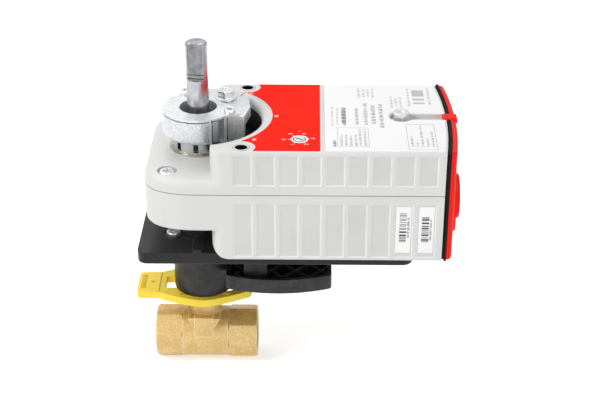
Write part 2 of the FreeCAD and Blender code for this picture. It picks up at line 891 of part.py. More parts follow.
def end_arc_face(x_off, half):
    r = end_radius + x_off
    return end_x + end_bulge - end_radius + math.sqrt(r * r - half * half)


label_skin = slab(label_end_gap, top_z, top_z + label_thick).common(
    box(-100, 400, -label_front, label_front, top_z - 1, top_z + 1))
red = label_skin.common(box(label_left - 12, red_right, -200, 200, top_z - 1, top_z + 1))
red = red.cut(cyl(label_arc, 0, 400))
white = label_skin.common(box(white_left, 400, -200, 200, top_z - 1, top_z + 1))
for s in (-1, 1):
    red = red.cut([
        cyl(label_hole_radius, 0, 400, corner_hole_x, s * corner_hole_y),
        box(0, corner_hole_x, s * label_notch, s * 80, 0, 400),
    ])
red = red.cut(cyl(knob_radius + knob_gap, 0, 400, knob_x, knob_y))
white = white.cut([cyl(recess_radius + 0.6, 0, 400, recess_x),
                   box(recess_x, 400, -groove_half - 0.5, groove_half + 0.5, 0, 400)])


def sticker(index):
    x = panel_first + panel_pitch * index + (panel_width - sticker_width) / 2
    y = -half_width + panel_depth
    z = seam_height - sticker_top
    return box(x, x + sticker_width, y - sticker_thick, y, z - sticker_height, z)


# seal and wiring cover at the right end
def end_slab(off0, off1, half, z0, z1):
    a = [(end_arc_face(off0, half), half), (end_x + off0 + end_bulge, 0), (end_arc_face(off0, half), -half)]
    b = [(end_arc_face(off1, half), half), (end_x + off1 + end_bulge, 0), (end_arc_face(off1, half), -half)]
    edges = [arc(*a), arc(*b), line(a[0], b[0]), line(a[2], b[2])]
    return plate_from(edges, z0, z1)


seal_half = half_width - seal_inset
gasket = end_slab(0, seal_thick, seal_half, box_low + seal_inset, top_z - seal_inset)
gasket = gasket.cut(box(end_x - 20, end_x + 20, -seal_half + seal_frame, seal_half - seal_frame,
                        box_low + seal_inset + seal_frame, top_z - seal_inset - seal_frame))
gasket = gasket.cut(box(end_x - 20, end_x + 20, -groove_half, groove_half, top_z - groove_depth, top_z + 1))

cover_out = seal_thick + cover_thick
pad_out = cover_out + cover_pad_rise
cover = end_slab(seal_thick, cover_out, half_width, box_low, top_z)
cover = round_where(cover, cover_corner,
                    lambda e: is_vertical(e) and e.BoundBox.XMin > end_x + cover_out - 0.5)
cover = round_where(cover, cover_round, lambda e: (at_height(e, top_z) or at_height(e, box_low))
                    and e.BoundBox.XMax > end_x + cover_out + 0.5)
cover_pad = end_slab(cover_out - 1, pad_out, cover_pad_half, seam_height - cover_pad_low,
                     seam_height - cover_pad_high)
cover_pad = round_where(cover_pad, cover_pad_round, lambda e: e.BoundBox.YLength > 20
                        and e.BoundBox.XMax > end_x + pad_out and e.BoundBox.XMin > end_x + cover_out - 0.2)
cover = cover.fuse(cover_pad)
room_edge = cover_wall + 2
cover = cover.cut(end_slab(seal_thick - 1, cover_out - cover_wall, half_width - room_edge,
                           box_low + room_edge, top_z - room_edge))
end_tip = end_x + end_bulge
tongue_left = end_tip + seal_thick - tongue_reach + 2
tongue = box(tongue_left, end_tip + cover_out + 1, -tongue_half + 1, tongue_half - 1,
             top_z - groove_depth + 0.3, top_z + tongue_rise)
tongue = round_where(tongue, tongue_round, lambda e: at_height(e, top_z + tongue_rise))
conduit_z = seam_height - conduit_drop


def conduit(r, x0, x1):
    return Part.makeCylinder(r, x1 - x0, V(x0, -conduit_y, conduit_z), V(1, 0, 0))


conduit_boss_solid = conduit(conduit_boss, end_tip + cover_out - cover_wall - conduit_boss_in,
                             end_tip + pad_out + conduit_boss_out)
cover = join(cover, tongue, conduit_boss_solid)
cover = cover.cut(conduit(conduit_radius, end_x - 10, end_x + 50))

# screws
def screw(head_r, head_h, shank_r, length, x, y, z):
    head = cyl(head_r, z, z + head_h, x, y)
    head = round_where(head, min(head_h, head_r) * screw_round, lambda e: at_height(e, z + head_h))
    solid = head.fuse(cyl(shank_r, z - length, z + 0.1, x, y))
    w = head_r * drive_width
    reach = head_r * drive_reach
    top = z + head_h
    low = top - head_h * drive_depth
    solid = solid.cut([
        box(x - w, x + w, y - reach, y + reach, low, top + 1),
        box(x - reach, x + reach, y - w, y + w, low, top + 1),
    ])
    return solid.removeSplitter()


def flange_bolt(x, y, z, flange_r, flats, head_h, shank_r, length, turn):
    flange = cyl(flange_r, z, z + flange_thick, x, y)
    flange = round_where(flange, flange_thick / 2, lambda e: at_height(e, z + flange_thick))
    head = hexagon(flats, z + flange_thick / 2, z + head_h, x, y, turn=turn)
    crown = cyl(flats / 2 / math.cos(math.pi / 6), z, z + head_h, x, y)
    crown = crown.makeChamfer(0.8, [e for e in crown.Edges if at_height(e, z + head_h)])
    head = head.common(crown)
    dish = cyl(flats * 0.28, z + head_h - 0.7, z + head_h + 1, x, y)
    return flange.fuse([head, cyl(shank_r, z - length, z + 0.1, x, y)]).cut(dish).removeSplitter()


# output hub, bearings and shaft adapter
hub = join(
    cyl(hub_foot, hub_low, hub_floor + shell + hub_gear_step),
    cyl(hub_waist, hub_floor + shell + hub_gear_step, hub_collar),
    cyl(hub_radius, hub_collar, drum_low),
)
for k in range(hub_slots):
    half = slot_width / 2
    notch = box(hub_radius - slot_depth, hub_radius + 2, -half, half, slot_floor, drum_low + 1)
    hub = hub.cut(spun(notch, 360.0 / hub_slots * k + hub_slot_turn))
hub = hub.cut([cyl(hub_bore, insert_top, drum_low + 1), cyl(insert_radius, 0, 400)])

top_ring = join(tube(ring_radius, hub_radius + hub_running, deck_z, deck_z + ring_thick),
                tube(ring_barrel, hub_radius + hub_running, deck_z - shell, deck_z))
foot_floor = hub_floor + shell
foot_ring = join(tube(foot_barrel, hub_foot + hub_running, hub_floor, foot_floor),
                 tube(foot_ring_radius, hub_foot + hub_running, foot_floor, foot_floor + foot_ring_thick))

drum = cyl(drum_radius, drum_low, adapter_top)
drum = round_where(drum, drum_round, lambda e: at_height(e, drum_low))
drum = drum.cut(tube(drum_radius + 1, drum_radius - cap_groove, adapter_top - cap_groove_height,
                     adapter_top + 1))
ear_side = drum_radius + 0.1


def at_side(s, points):
    return [(x, s * y) for x, y in points]


lobe_front = [(-4.0, 18.0), (ear_face, ear_side)] + lobe_half
lobe_points = at_side(-1, lobe_front) + [(lobe_tip, 0.0)] + lobe_front[::-1]
ear = [(0.0, 17.0), (ear_face, ear_side), lobe_half[0], (17.6, 25.2), (12.0, 14.0)]
ears = [prism(at_side(s, ear), ear_low, adapter_top) for s in (-1, 1)]
cheek = box(0, 14, -15, 15, drum_low, adapter_top)
adapter = drum.fuse([prism(lobe_points, lobe_low, adapter_top), cheek] + ears)
adapter = adapter.cut(cyl(hub_radius + 0.3, 0, drum_low))
for s in (-1, 1):
    notch_floor = s * (drum_radius - notch_depth)
    adapter = adapter.cut(box(2.4 - notch_width, 2.4, s * 30, notch_floor, 0, 400))
adapter = adapter.cut([
    cyl(adapter_bore, 0, 400),
    cyl(bolt_radius, adapter_top - bolt_length, adapter_top + 1, bolt_offset),
])

cap_top = adapter_top + cap_thick
cap = cyl(drum_radius - 0.1, adapter_top, cap_top)
cap = cap.fuse([prism(at_side(s, cap_ear), adapter_top, cap_top) for s in (-1, 1)])
cap = cap.cut([
    cyl(adapter_bore, 0, 400),
    cyl(bolt_flange + 0.5, 0, 400, bolt_offset),
    box(cap_right, 60, -60, 60, 0, 400),
])
cap_screws = []
for s in (-1, 1):
    y = s * cap_screw_y
    adapter = adapter.cut(cyl(cap_screw_radius, cap_top - cap_screw_length, cap_top, cap_screw_x, y))
    cap = cap.cut(cyl(cap_screw_radius, adapter_top - 1, cap_top + 1, cap_screw_x, y))
    cap_screws.append(screw(cap_screw_head, 2.6, cap_screw_radius, cap_screw_length, cap_screw_x, y, cap_top))
adapter = adapter.removeSplitter()
cap = cap.removeSplitter()
bolt = flange_bolt(bolt_offset, 0, adapter_top, bolt_flange, bolt_flats, bolt_head, bolt_radius, bolt_length,
                   12)


# gears
def gear_outline(module, teeth, phase):
    pitch_r = module * teeth / 2.0
    base_r = pitch_r * math.cos(math.radians(pressure_angle))
    tip_r = pitch_r + 0.92 * module
    root_r = pitch_r - 1.2 * module
    alpha = math.radians(pressure_angle)
    inv_pitch = math.tan(alpha) - alpha
    half_tooth = math.pi / (2 * teeth) - backlash / (2 * pitch_r)

    def half_angle(r):
        if r <= base_r:
            return half_tooth + inv_pitch
        a = math.acos(base_r / r)
        return half_tooth + inv_pitch - (math.tan(a) - a)

    start_r = max(root_r, base_r)
    radii = [start_r + (tip_r - start_r) * k / 4.0 for k in range(5)]
    if root_r < base_r:
        radii = [root_r] + radii
    points = []
    for t in range(teeth):
        mid = phase + 2 * math.pi * t / teeth
        for r in radii:
            points.append((r * math.cos(mid - half_angle(r)), r * math.sin(mid - half_angle(r))))
        for r in reversed(radii):
            points.append((r * math.cos(mid + half_angle(r)), r * math.sin(mid + half_angle(r))))
    return points


def gear(module, teeth, phase, bore, z0, width, x=0.0, y=0.0):
    points = [V(px, py, 0) for px, py in gear_outline(module, teeth, phase)]
    outer = Part.makePolygon(points + [points[0]])
    inner = Part.Wire(Part.makeCircle(bore, V(0, 0, 0)))
    face = Part.Face([outer, inner])
    face.validate()
    solid = face.extrude(V(0, 0, width))
    solid.translate(V(x, y, z0))
    return solid


def meshed(phase, teeth, direction, other_teeth):
    return direction + math.pi + (math.pi - (phase - direction) * teeth) / other_teeth


out_phase = math.radians(3.0)
pinion_phase = meshed(out_phase, output_teeth, 0.0, pinion_teeth)
wheel_phase = 0.0
third_dir = math.radians(third_turn)
third_phase = meshed(wheel_phase, second_wheel_teeth, third_dir, third_pinion_teeth)
third_wheel_phase = 0.0
motor_dir = math.radians(motor_turn)
motor_phase = meshed(third_wheel_phase, third_wheel_teeth, motor_dir, motor_teeth)
sensor_dir = math.radians(sensor_turn)
sensor_phase = meshed(out_phase, output_teeth, sensor_dir, pinion_teeth)

output_gear = gear(output_module, output_teeth, out_phase, hub_waist, output_low, output_width)
pinion_low = output_low - 0.5
pinion_width = output_width + 1.5
second = join(
    gear(output_module, pinion_teeth, pinion_phase, arbor_radius, pinion_low, pinion_width, second_x),
    tube(second_boss, arbor_radius, output_low + output_width + 0.9, second_low + 0.1, second_x),
    gear(second_module, second_wheel_teeth, wheel_phase, arbor_radius, second_low, second_width, second_x),
)
third_at = (third_x, third_y)
motor_at = (motor_x, motor_y)
sensor_at = (sensor_x, sensor_y)
third_pinion_low = second_low - 0.5
third_pinion_width = second_width + 1
third_pinion_at = (third_pinion_low, third_pinion_width, *third_at)
third = join(
    gear(second_module, third_pinion_teeth, third_phase, small_arbor, *third_pinion_at),
    tube(third_boss, small_arbor, second_low + second_width + 0.4, third_low + 0.1, *third_at),
    gear(third_module, third_wheel_teeth, third_wheel_phase, small_arbor, third_low, third_width, *third_at),
)
arbor_low = barrel_low + 0.2
arbor_high = gear_plate_top + gear_plate_thick - 0.2
second_arbor = cyl(arbor_radius, arbor_low, arbor_high, second_x)
spring_low = barrel_low + barrel_wall
spring_high = spring_low + spring_height
second_arbor = join(second_arbor, cyl(spring_drum, spring_low + 0.4, spring_high + 0.5, second_x))
third_arbor = cyl(small_arbor, gear_plate_low + 0.3, arbor_high, *third_at)
motor_top = gear_plate_low
rotor = join(
    cyl(motor_arbor, motor_top - motor_boss, arbor_high, *motor_at),
    gear(third_module, motor_teeth, motor_phase, motor_arbor, third_low - 0.4, third_width + 0.8, *motor_at),
)
sensor_top = foot_floor + sensor_height
sensor_gear_low = output_low + 1.0
sensor_gear = join(
    gear(output_module, pinion_teeth, sensor_phase, small_arbor, sensor_gear_low, sensor_width, *sensor_at),
    cyl(small_arbor, sensor_top - 3.5, sensor_gear_low + sensor_width + 1.0, *sensor_at),
)


def square(side, z0, z1, x, y):
    return box(x - side / 2, x + side / 2, y - side / 2, y + side / 2, z0, z1)


sensor_body = square(sensor_side, foot_floor, sensor_top, *sensor_at)
sensor_body = sensor_body.cut(cyl(small_arbor + arbor_running, sensor_top - 4, sensor_top + 1, *sensor_at))

plate_outline = [(gear_plate_left, -gear_plate_half), (gear_plate_right, -gear_plate_wide),
                 (gear_plate_right, gear_plate_wide), (gear_plate_left, gear_plate_half)]
low_plate = prism(plate_outline, gear_plate_low, gear_plate_low + gear_plate_thick)
far_post_x = gear_plate_right - gear_post_inset
far_post_y = gear_plate_wide - gear_post_inset
plate_posts = [(far_post_x, -far_post_y), (far_post_x, far_post_y), (third_post_x, gear_plate_half - 1)]
for px, py in plate_posts:
    low_plate = low_plate.fuse(cyl(gear_post, gear_plate_low, gear_plate_top, px, py))
low_plate = low_plate.cut([
    cyl(hub_waist + 1.5, 0, 400),
    cyl(arbor_radius + 0.6, 0, 400, second_x),
    cyl(small_arbor + arbor_running, 0, 400, *third_at),
    cyl(motor_arbor + 0.8, 0, 400, *motor_at),
]).removeSplitter()
high_plate = prism(plate_outline, gear_plate_top, gear_plate_top + gear_plate_thick)
high_plate = high_plate.cut([
    cyl(hub_radius + 1.5, 0, 400),
    cyl(arbor_radius + arbor_running, 0, 400, second_x),
    cyl(small_arbor + arbor_running, 0, 400, *third_at),
    cyl(motor_arbor + arbor_running, 0, 400, *motor_at),
])
barrel = cyl(barrel_radius, barrel_low, gear_plate_low, second_x)
barrel = barrel.cut([
    cyl(barrel_radius - barrel_wall, spring_low, gear_plate_low + 1, second_x),
    cyl(arbor_radius + arbor_running, 0, 400, second_x),
])
motor_case = cyl(motor_radius, motor_top - motor_height, motor_top, *motor_at)
motor_case = round_where(motor_case, motor_round, lambda e: at_height(e, motor_top - motor_height))
motor_seat = motor_top - motor_boss - 0.5
motor_case = motor_case.cut(cyl(motor_arbor + arbor_running, motor_seat, motor_top + 1, *motor_at))


# the spring is a flat strip wound in half circles about two centres, as many as its barrel takes
spring_out = barrel_radius - barrel_wall - spring_room - spring_strip - spring_pitch / 2
spring_half_turns = 2 * int((spring_out - spring_start) / spring_pitch)


def spring_side(offset):
    edges = []
    step = spring_pitch / 2.0
    for k in range(spring_half_turns):
        r = spring_start + offset + step * k
        cx = 0.0 if k % 2 == 0 else step
        up = 1 if k % 2 == 0 else -1
        a = V(cx + up * r, 0, 0)
        b = V(cx, up * r, 0)
        c = V(cx - up * r, 0, 0)
        edges.append(Part.Arc(a, b, c).toShape())
    return edges


inner_side = spring_side(0.0)
outer_side = spring_side(spring_strip)
start_cap = Part.makeLine(inner_side[0].firstVertex().Point, outer_side[0].firstVertex().Point)
end_cap = Part.makeLine(inner_side[-1].lastVertex().Point, outer_side[-1].lastVertex().Point)
spring_wire = Part.Wire(Part.__sortEdges__(inner_side + [end_cap] + outer_side + [start_cap]))
spring = Part.Face(spring_wire).extrude(V(0, 0, spring_height))
spring.translate(V(second_x, 0, spring_low))

# electronics
board_z = board_low + board_thick
board = box(board_left, board_right, -board_half, board_half, board_low, board_z)
for x in (board_post_left, board_post_right):
    for s in (-1, 1):
        board = board.cut(cyl(1.2, 0, 400, x, s * board_post_y))
switch_base = square(switch_side, board_z, board_z + switch_height, knob_x, knob_y)
switch_base = switch_base.cut(cyl(knob_stalk + arbor_running, board_z + 2, 400, knob_x, knob_y))
knob_top = top_z + 0.5
knob = join(
    cyl(knob_stalk, board_z + 2.3, top_z - 1, knob_x, knob_y),
    cyl(knob_radius, knob_top - knob_height, knob_top, knob_x, knob_y),
)
slit = box(-knob_radius * 0.8, knob_radius * 0.8, -knob_slot / 2, knob_slot / 2, knob_top - 1.4, knob_top + 2)
slit = spun(slit, knob_turn)
slit.translate(V(knob_x, knob_y, 0))
knob = knob.cut(slit)
terminal_top = board_z + terminal_height
terminal_right = board_right - 1
terminal = box(terminal_right - terminal_depth, terminal_right, -terminal_length / 2, terminal_length / 2,
               board_z, terminal_top)
way = terminal_length / terminal_ways
for k in range(terminal_ways):
    y = -terminal_length / 2 + way * (k + 0.5)
    terminal = terminal.cut([
        cyl(1.6, terminal_top - 2.0, terminal_top + 1, board_right - terminal_depth * 0.6, y),
        box(board_right - 4, board_right + 1, y - 1.5, y + 1.5, board_z + 1.2, board_z + 4.4),
    ])
chip = box(chip_x, chip_x + chip_side, chip_y, chip_y + chip_side, board_z, board_z + chip_height)
cover_screw = flange_bolt(recess_x, 0, top_z - recess_depth, cover_bolt_flange, cover_bolt_flats,
                          cover_bolt_head, cover_bolt_radius, cover_bolt_length, 8)

parts = {
    "valve_body": body,
    "valve_tail": tail,
    "valve_ball": ball,
    "seat_inlet": seat(-1),
    "seat_outlet": seat(1),
    "flow_insert": insert,
    "valve_stem": stem,
    "stem_seal_lower": seals[0],
    "stem_seal_upper": seals[1],
    "gland_nut": gland,
    "drive_shaft": shaft,
    "release_clip": clip,
    "bracket_plate": plate,
    "bracket_neck": neck,
    "neck_bushing": bushing,
    "lower_housing": lower,
    "upper_housing": upper,
    "red_label": red,
    "white_label": white,
    "side_sticker_left": sticker(panel_count - 2),
    "side_sticker_right": sticker(panel_count - 1),
    "end_gasket": gasket,
    "end_cover": cover,
    "output_hub": hub,
    "hub_ring_upper": top_ring,
    "hub_ring_lower": foot_ring,
    "output_gear": output_gear,
    "second_gear": second,
    "second_arbor": second_arbor,
    "third_gear": third,
    "third_arbor": third_arbor,
    "motor_rotor": rotor,
    "motor_case": motor_case,
    "sensor_gear": sensor_gear,
    "sensor_body": sensor_body,
    "gear_plate_lower": low_plate,
    "gear_plate_upper": high_plate,
    "spring_barrel": barrel,
    "main_spring": spring,
    "circuit_board": board,
    "switch_base": switch_base,
    "mode_knob": knob,
    "terminal_block": terminal,
    "control_chip": chip,
    "cover_screw": cover_screw,
}
for name, shape in (("adapter_body", adapter), ("adapter_cap", cap), ("cap_screw_front", cap_screws[0]),
                    ("cap_screw_back", cap_screws[1]), ("clamp_bolt", bolt)):
    parts[name] = spun(shape, pointer_turn)
for word, s in (("front", -1), ("back", 1)):
    parts["corner_screw_" + word] = screw(housing_screw_head, 2.4, housing_screw_radius, housing_screw_length,
                                          corner_hole_x, s * corner_hole_y, seam_height + corner_seat)
    parts["deck_screw_" + word] = screw(deck_screw_head, 2.3, housing_screw_radius, housing_screw_length,
                                        deck_screw_x, s * deck_screw_y, deck_z - deck_recess_depth)
    parts["plate_screw_" + word] = screw(bracket_screw_head, 2.4, bracket_screw_radius, plate_screw_length,
                                         drop_x, s * drop_y, box_low)
    parts["post_screw_" + word] = screw(bracket_screw_head, 2.6, bracket_screw_radius, post_screw_length,
                                        post_screw_x, s * post_screw_y, post_screw_low)

for name, shape in parts.items():
    solid = shape.copy()
    if len(solid.Solids) == 1:
        solid = solid.Solids[0]
    solid.translate(V(inlet_length, 0, 0))
    if not solid.isValid() or len(solid.Solids) != 1:
        print("CHECK", name, solid.isValid(), len(solid.Solids))
    solid.exportStep("parts/" + name + ".step")
    b = solid.BoundBox
    extent = [round(v, 1) for v in (b.XMin, b.XMax, b.YMin, b.YMax, b.ZMin, b.ZMax)]
    print(name, round(solid.Volume, 1), extent)
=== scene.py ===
import json
import math
import random

import bmesh
import bpy
from mathutils import Euler, Matrix, Vector


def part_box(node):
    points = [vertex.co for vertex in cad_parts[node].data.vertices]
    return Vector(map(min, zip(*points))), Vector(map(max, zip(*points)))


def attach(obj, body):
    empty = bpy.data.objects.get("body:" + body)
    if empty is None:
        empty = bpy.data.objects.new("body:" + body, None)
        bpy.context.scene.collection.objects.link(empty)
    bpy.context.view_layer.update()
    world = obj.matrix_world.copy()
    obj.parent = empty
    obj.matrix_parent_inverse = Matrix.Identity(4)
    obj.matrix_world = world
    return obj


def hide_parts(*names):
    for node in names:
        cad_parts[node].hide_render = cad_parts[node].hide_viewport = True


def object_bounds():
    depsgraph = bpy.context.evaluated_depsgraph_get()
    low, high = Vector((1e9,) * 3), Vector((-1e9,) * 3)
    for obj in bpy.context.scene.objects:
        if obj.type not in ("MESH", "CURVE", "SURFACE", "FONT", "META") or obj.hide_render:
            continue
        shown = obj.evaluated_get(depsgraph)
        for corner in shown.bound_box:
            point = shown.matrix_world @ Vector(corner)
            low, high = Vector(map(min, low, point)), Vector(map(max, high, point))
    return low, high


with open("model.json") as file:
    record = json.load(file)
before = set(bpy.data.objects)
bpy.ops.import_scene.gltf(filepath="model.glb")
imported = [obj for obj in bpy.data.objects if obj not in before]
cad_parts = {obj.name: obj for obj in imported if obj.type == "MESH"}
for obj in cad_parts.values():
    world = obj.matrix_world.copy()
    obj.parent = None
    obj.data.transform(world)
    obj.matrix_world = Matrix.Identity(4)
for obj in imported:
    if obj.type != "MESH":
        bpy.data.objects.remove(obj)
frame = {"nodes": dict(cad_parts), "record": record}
nodes = frame["nodes"]
cadLow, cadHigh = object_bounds()
mm = 0.001
stemX = sum(corner.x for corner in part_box("valve_stem")) / 2
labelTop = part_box("red_label")[1].z
print("frame loaded:", len(nodes), "nodes")


def place(x, y, z):  # millimetres from the stem's axis, with the height in metres
    return Vector((stemX + x * mm, y * mm, z))


def bodyOf(node):
    for body, members in frame["record"]["behaviour"]["bodies"].items():
        if node in members:
            return body
    return "root"


def screwPairs(*kinds):
    return [kind + "_screw_" + end for kind in kinds for end in ("front", "back")]


def tone(red, green, blue):
    shares = [c / 255 for c in (red, green, blue)]
    return [((s + 0.055) / 1.055) ** 2.4 if s > 0.04045 else s / 12.92 for s in shares] + [1.0]


def feed(tree, node, inputs):  # links a socket, or sets a plain value
    for name, value in inputs.items():
        if isinstance(value, bpy.types.NodeSocket):
            tree.links.new(value, node.inputs[name])
        else:
            node.inputs[name].default_value = value


def put(tree, kind, inputs, **settings):
    node = tree.nodes.new("ShaderNode" + kind)
    for name, value in settings.items():
        setattr(node, name, value)
    feed(tree, node, inputs)
    return node


def perSize(tree, size):  # how often a pattern of this size fits in a metre
    return put(tree, "Math", {0: 1.0, 1: size}, operation="DIVIDE").outputs[0]


def mixColours(tree, share, first, second):
    return put(tree, "Mix", {"Factor": share, 6: first, 7: second}, data_type="RGBA").outputs[2]


def seenRays(tree):  # camera, glossy and transmission rays meet the white studio
    rays = put(tree, "LightPath", {}).outputs
    seen = rays["Is Camera Ray"]
    for kind in ("Is Glossy Ray", "Is Transmission Ray"):
        seen = put(tree, "Math", {0: seen, 1: rays[kind]}, operation="MAXIMUM").outputs[0]
    return rays["Is Camera Ray"], seen


def newGroup(name, inputs, outputs):
    tree = bpy.data.node_groups.new(name, "ShaderNodeTree")
    for label, kind in inputs:
        tree.interface.new_socket(name=label, in_out="INPUT", socket_type="NodeSocket" + kind)
    for label, kind in outputs:
        tree.interface.new_socket(name=label, in_out="OUTPUT", socket_type="NodeSocket" + kind)
    return tree, tree.nodes.new("NodeGroupInput").outputs, tree.nodes.new("NodeGroupOutput").inputs


def makeColourDrift():  # two shades that wander into each other
    tree, given, result = newGroup(
        "colourDrift",
        [("Vector", "Vector"), ("Size", "Float"), ("First", "Color"), ("Second", "Color")],
        [("Colour", "Color")],
    )
    rate = perSize(tree, given["Size"])
    noise = put(tree, "TexNoise", {"Vector": given["Vector"], "Scale": rate, "Detail": 4.0, "Roughness": 0.6})
    share = put(tree, "MapRange", {"Value": noise.outputs["Fac"], "From Min": 0.36, "From Max": 0.64})
    mix = mixColours(tree, share.outputs["Result"], given["First"], given["Second"])
    tree.links.new(mix, result["Colour"])
    return tree


def makeMouldGrain():  # the fine skin of moulded plastic
    tree, given, result = newGroup(
        "mouldGrain", [("Vector", "Vector"), ("Size", "Float")], [("Height", "Float")])
    rate = perSize(tree, given["Size"])
    fine = put(tree, "TexNoise", {"Vector": given["Vector"], "Scale": rate, "Detail": 2.0, "Roughness": 0.7})
    slow = put(tree, "Math", {0: rate, 1: 0.012}, operation="MULTIPLY").outputs[0]
    sink = put(tree, "TexNoise", {"Vector": given["Vector"], "Scale": slow, "Detail": 1.0})
    both = put(tree, "Math", {0: sink.outputs["Fac"], 1: 3.0, 2: fine.outputs["Fac"]},
               operation="MULTIPLY_ADD")
    tree.links.new(both.outputs[0], result["Height"])
    return tree


def makeCastSkin():  # pits and soft lumps of a casting or forging
    tree, given, result = newGroup(
        "castSkin", [("Vector", "Vector"), ("Size", "Float")],
        [("Height", "Float"), ("Speck", "Float")])
    rate = perSize(tree, given["Size"])
    lumps = put(tree, "TexNoise", {"Vector": given["Vector"], "Scale": rate, "Detail": 6.0,
                                   "Roughness": 0.75})
    pitRate = put(tree, "Math", {0: rate, 1: 1.7}, operation="MULTIPLY").outputs[0]
    pits = put(tree, "TexVoronoi", {"Vector": given["Vector"], "Scale": pitRate})
    pit = put(tree, "MapRange", {"Value": pits.outputs["Distance"], "From Min": 0.05, "From Max": 0.35})
    both = put(tree, "Math", {0: pit.outputs["Result"], 1: 0.35, 2: lumps.outputs["Fac"]},
               operation="MULTIPLY_ADD")
    speck = put(tree, "MapRange", {"Value": lumps.outputs["Fac"], "From Min": 0.40, "From Max": 0.62})
    tree.links.new(both.outputs[0], result["Height"])
    tree.links.new(speck.outputs["Result"], result["Speck"])
    return tree


def makeTurnedRings():  # lathe marks round an upright axis
    tree, given, result = newGroup(
        "turnedRings", [("Vector", "Vector"), ("Pitch", "Float")], [("Height", "Float")])
    parts = put(tree, "SeparateXYZ", {"Vector": given["Vector"]}).outputs
    flat = put(tree, "CombineXYZ", {"X": parts["X"], "Y": parts["Y"]}).outputs["Vector"]
    reach = put(tree, "VectorMath", {0: flat}, operation="LENGTH").outputs["Value"]
    along = put(tree, "Math", {0: reach, 1: parts["Z"]}, operation="ADD").outputs[0]
    rate = perSize(tree, given["Pitch"])
    rings = put(tree, "TexNoise", {"W": along, "Scale": rate, "Detail": 3.0}, noise_dimensions="1D")
    tree.links.new(rings.outputs["Fac"], result["Height"])
    return tree


def makeEdgeWearAndHighlight():  # lighter edges: wear from hands and tools, and a painted highlight along every edge
    tree, given, result = newGroup(
        "edgeWearAndHighlight", [("Vector", "Vector"), ("Width", "Float"), ("Amount", "Float")], [("Mask", "Float")])
    softened = put(tree, "Bevel", {"Radius": given["Width"]}, samples=4).outputs["Normal"]
    plain = put(tree, "NewGeometry", {}).outputs["Normal"]
    same = put(tree, "VectorMath", {0: softened, 1: plain}, operation="DOT_PRODUCT").outputs["Value"]
    bend = put(tree, "MapRange", {"Value": same, "From Min": 0.985, "From Max": 0.90}).outputs["Result"]
    noise = put(tree, "TexNoise", {"Vector": given["Vector"], "Scale": 240.0, "Detail": 3.0}).outputs["Fac"]
    patches = put(tree, "MapRange", {"Value": noise, "From Min": 0.3, "From Max": 0.7, "To Min": 0.4})
    worn = put(tree, "Math", {0: bend, 1: patches.outputs["Result"]}, operation="MULTIPLY").outputs[0]
    mask = put(tree, "Math", {0: worn, 1: given["Amount"]}, operation="MULTIPLY", use_clamp=True).outputs[0]
    tree.links.new(mask, result["Mask"])
    return tree


def makeHandled():  # roughness that changes where the surface was touched
    tree, given, result = newGroup(
        "handled", [("Vector", "Vector"), ("Size", "Float"), ("Low", "Float"), ("High", "Float")],
        [("Roughness", "Float")])
    rate = perSize(tree, given["Size"])
    noise = put(tree, "TexNoise", {"Vector": given["Vector"], "Scale": rate, "Detail": 5.0,
                                   "Roughness": 0.65})
    value = put(tree, "MapRange", {"Value": noise.outputs["Fac"], "From Min": 0.3, "From Max": 0.7,
                                   "To Min": given["Low"], "To Max": given["High"]})
    tree.links.new(value.outputs["Result"], result["Roughness"])
    return tree


colourDrift = makeColourDrift()
mouldGrain = makeMouldGrain()
castSkin = makeCastSkin()
turnedRings = makeTurnedRings()
edgeWearAndHighlight = makeEdgeWearAndHighlight()
handled = makeHandled()


def useGroup(tree, group, inputs):
    node = tree.nodes.new("ShaderNodeGroup")
    node.node_tree = group
    feed(tree, node, inputs)
    return node.outputs


# what a look has when it doesn't say otherwise
usualLook = {"driftSize": 0.01, "grainSize": 0.0004, "depth": 0.00001, "handSize": 0.012, "rubWidth": 0.0006,
             "metallic": 0.0, "specular": 0.5, "coat": 0.0, "soft": 0.0, "brushed": 0.0}


def surface(name, ownLook):
    look = {**usualLook, **ownLook}
    made = bpy.data.materials.new(name)
    made.use_nodes = True
    tree = made.node_tree
    shader = tree.nodes["Principled BSDF"]
    spot = put(tree, "TexCoord", {}).outputs["Object"]
    spot = put(tree, "Mapping", {"Vector": spot, "Location": (-stemX, 0, 0)}).outputs["Vector"]
    drift = useGroup(tree, colourDrift, {"Vector": spot, "Size": look["driftSize"],
                                         "First": look["first"], "Second": look["second"]})
    colour = drift["Colour"]
    if "speck" in look:
        skin = useGroup(tree, castSkin, {"Vector": spot, "Size": look["skinSize"]})
        colour = mixColours(tree, skin["Speck"], look["speck"], colour)
        height = skin["Height"]
    elif "ringPitch" in look:
        height = useGroup(tree, turnedRings, {"Vector": spot, "Pitch": look["ringPitch"]})["Height"]
    else:
        height = useGroup(tree, mouldGrain, {"Vector": spot, "Size": look["grainSize"]})["Height"]
    # edges mixed towards a pale tone: real wear plus a painted highlight
    if "rub" in look:
        worn = useGroup(tree, edgeWearAndHighlight, {"Vector": spot, "Width": look["rubWidth"],
                                        "Amount": look["rub"]})["Mask"]
        colour = mixColours(tree, worn, colour, look["worn"])
    rough = useGroup(tree, handled, {"Vector": spot, "Size": look["handSize"],
                                     "Low": look["smooth"], "High": look["rough"]})["Roughness"]
    bump = put(tree, "Bump", {"Height": height, "Strength": 1.0, "Distance": look["depth"]})
    feed(tree, shader, {
        "Base Color": colour, "Roughness": rough, "Normal": bump.outputs["Normal"],
        "Metallic": look["metallic"], "Specular IOR Level": look["specular"], "Coat Weight": look["coat"],
        "Coat Roughness": 0.2, "Subsurface Weight": look["soft"], "Subsurface Scale": 0.002,
        "Anisotropic": look["brushed"]})
    return made


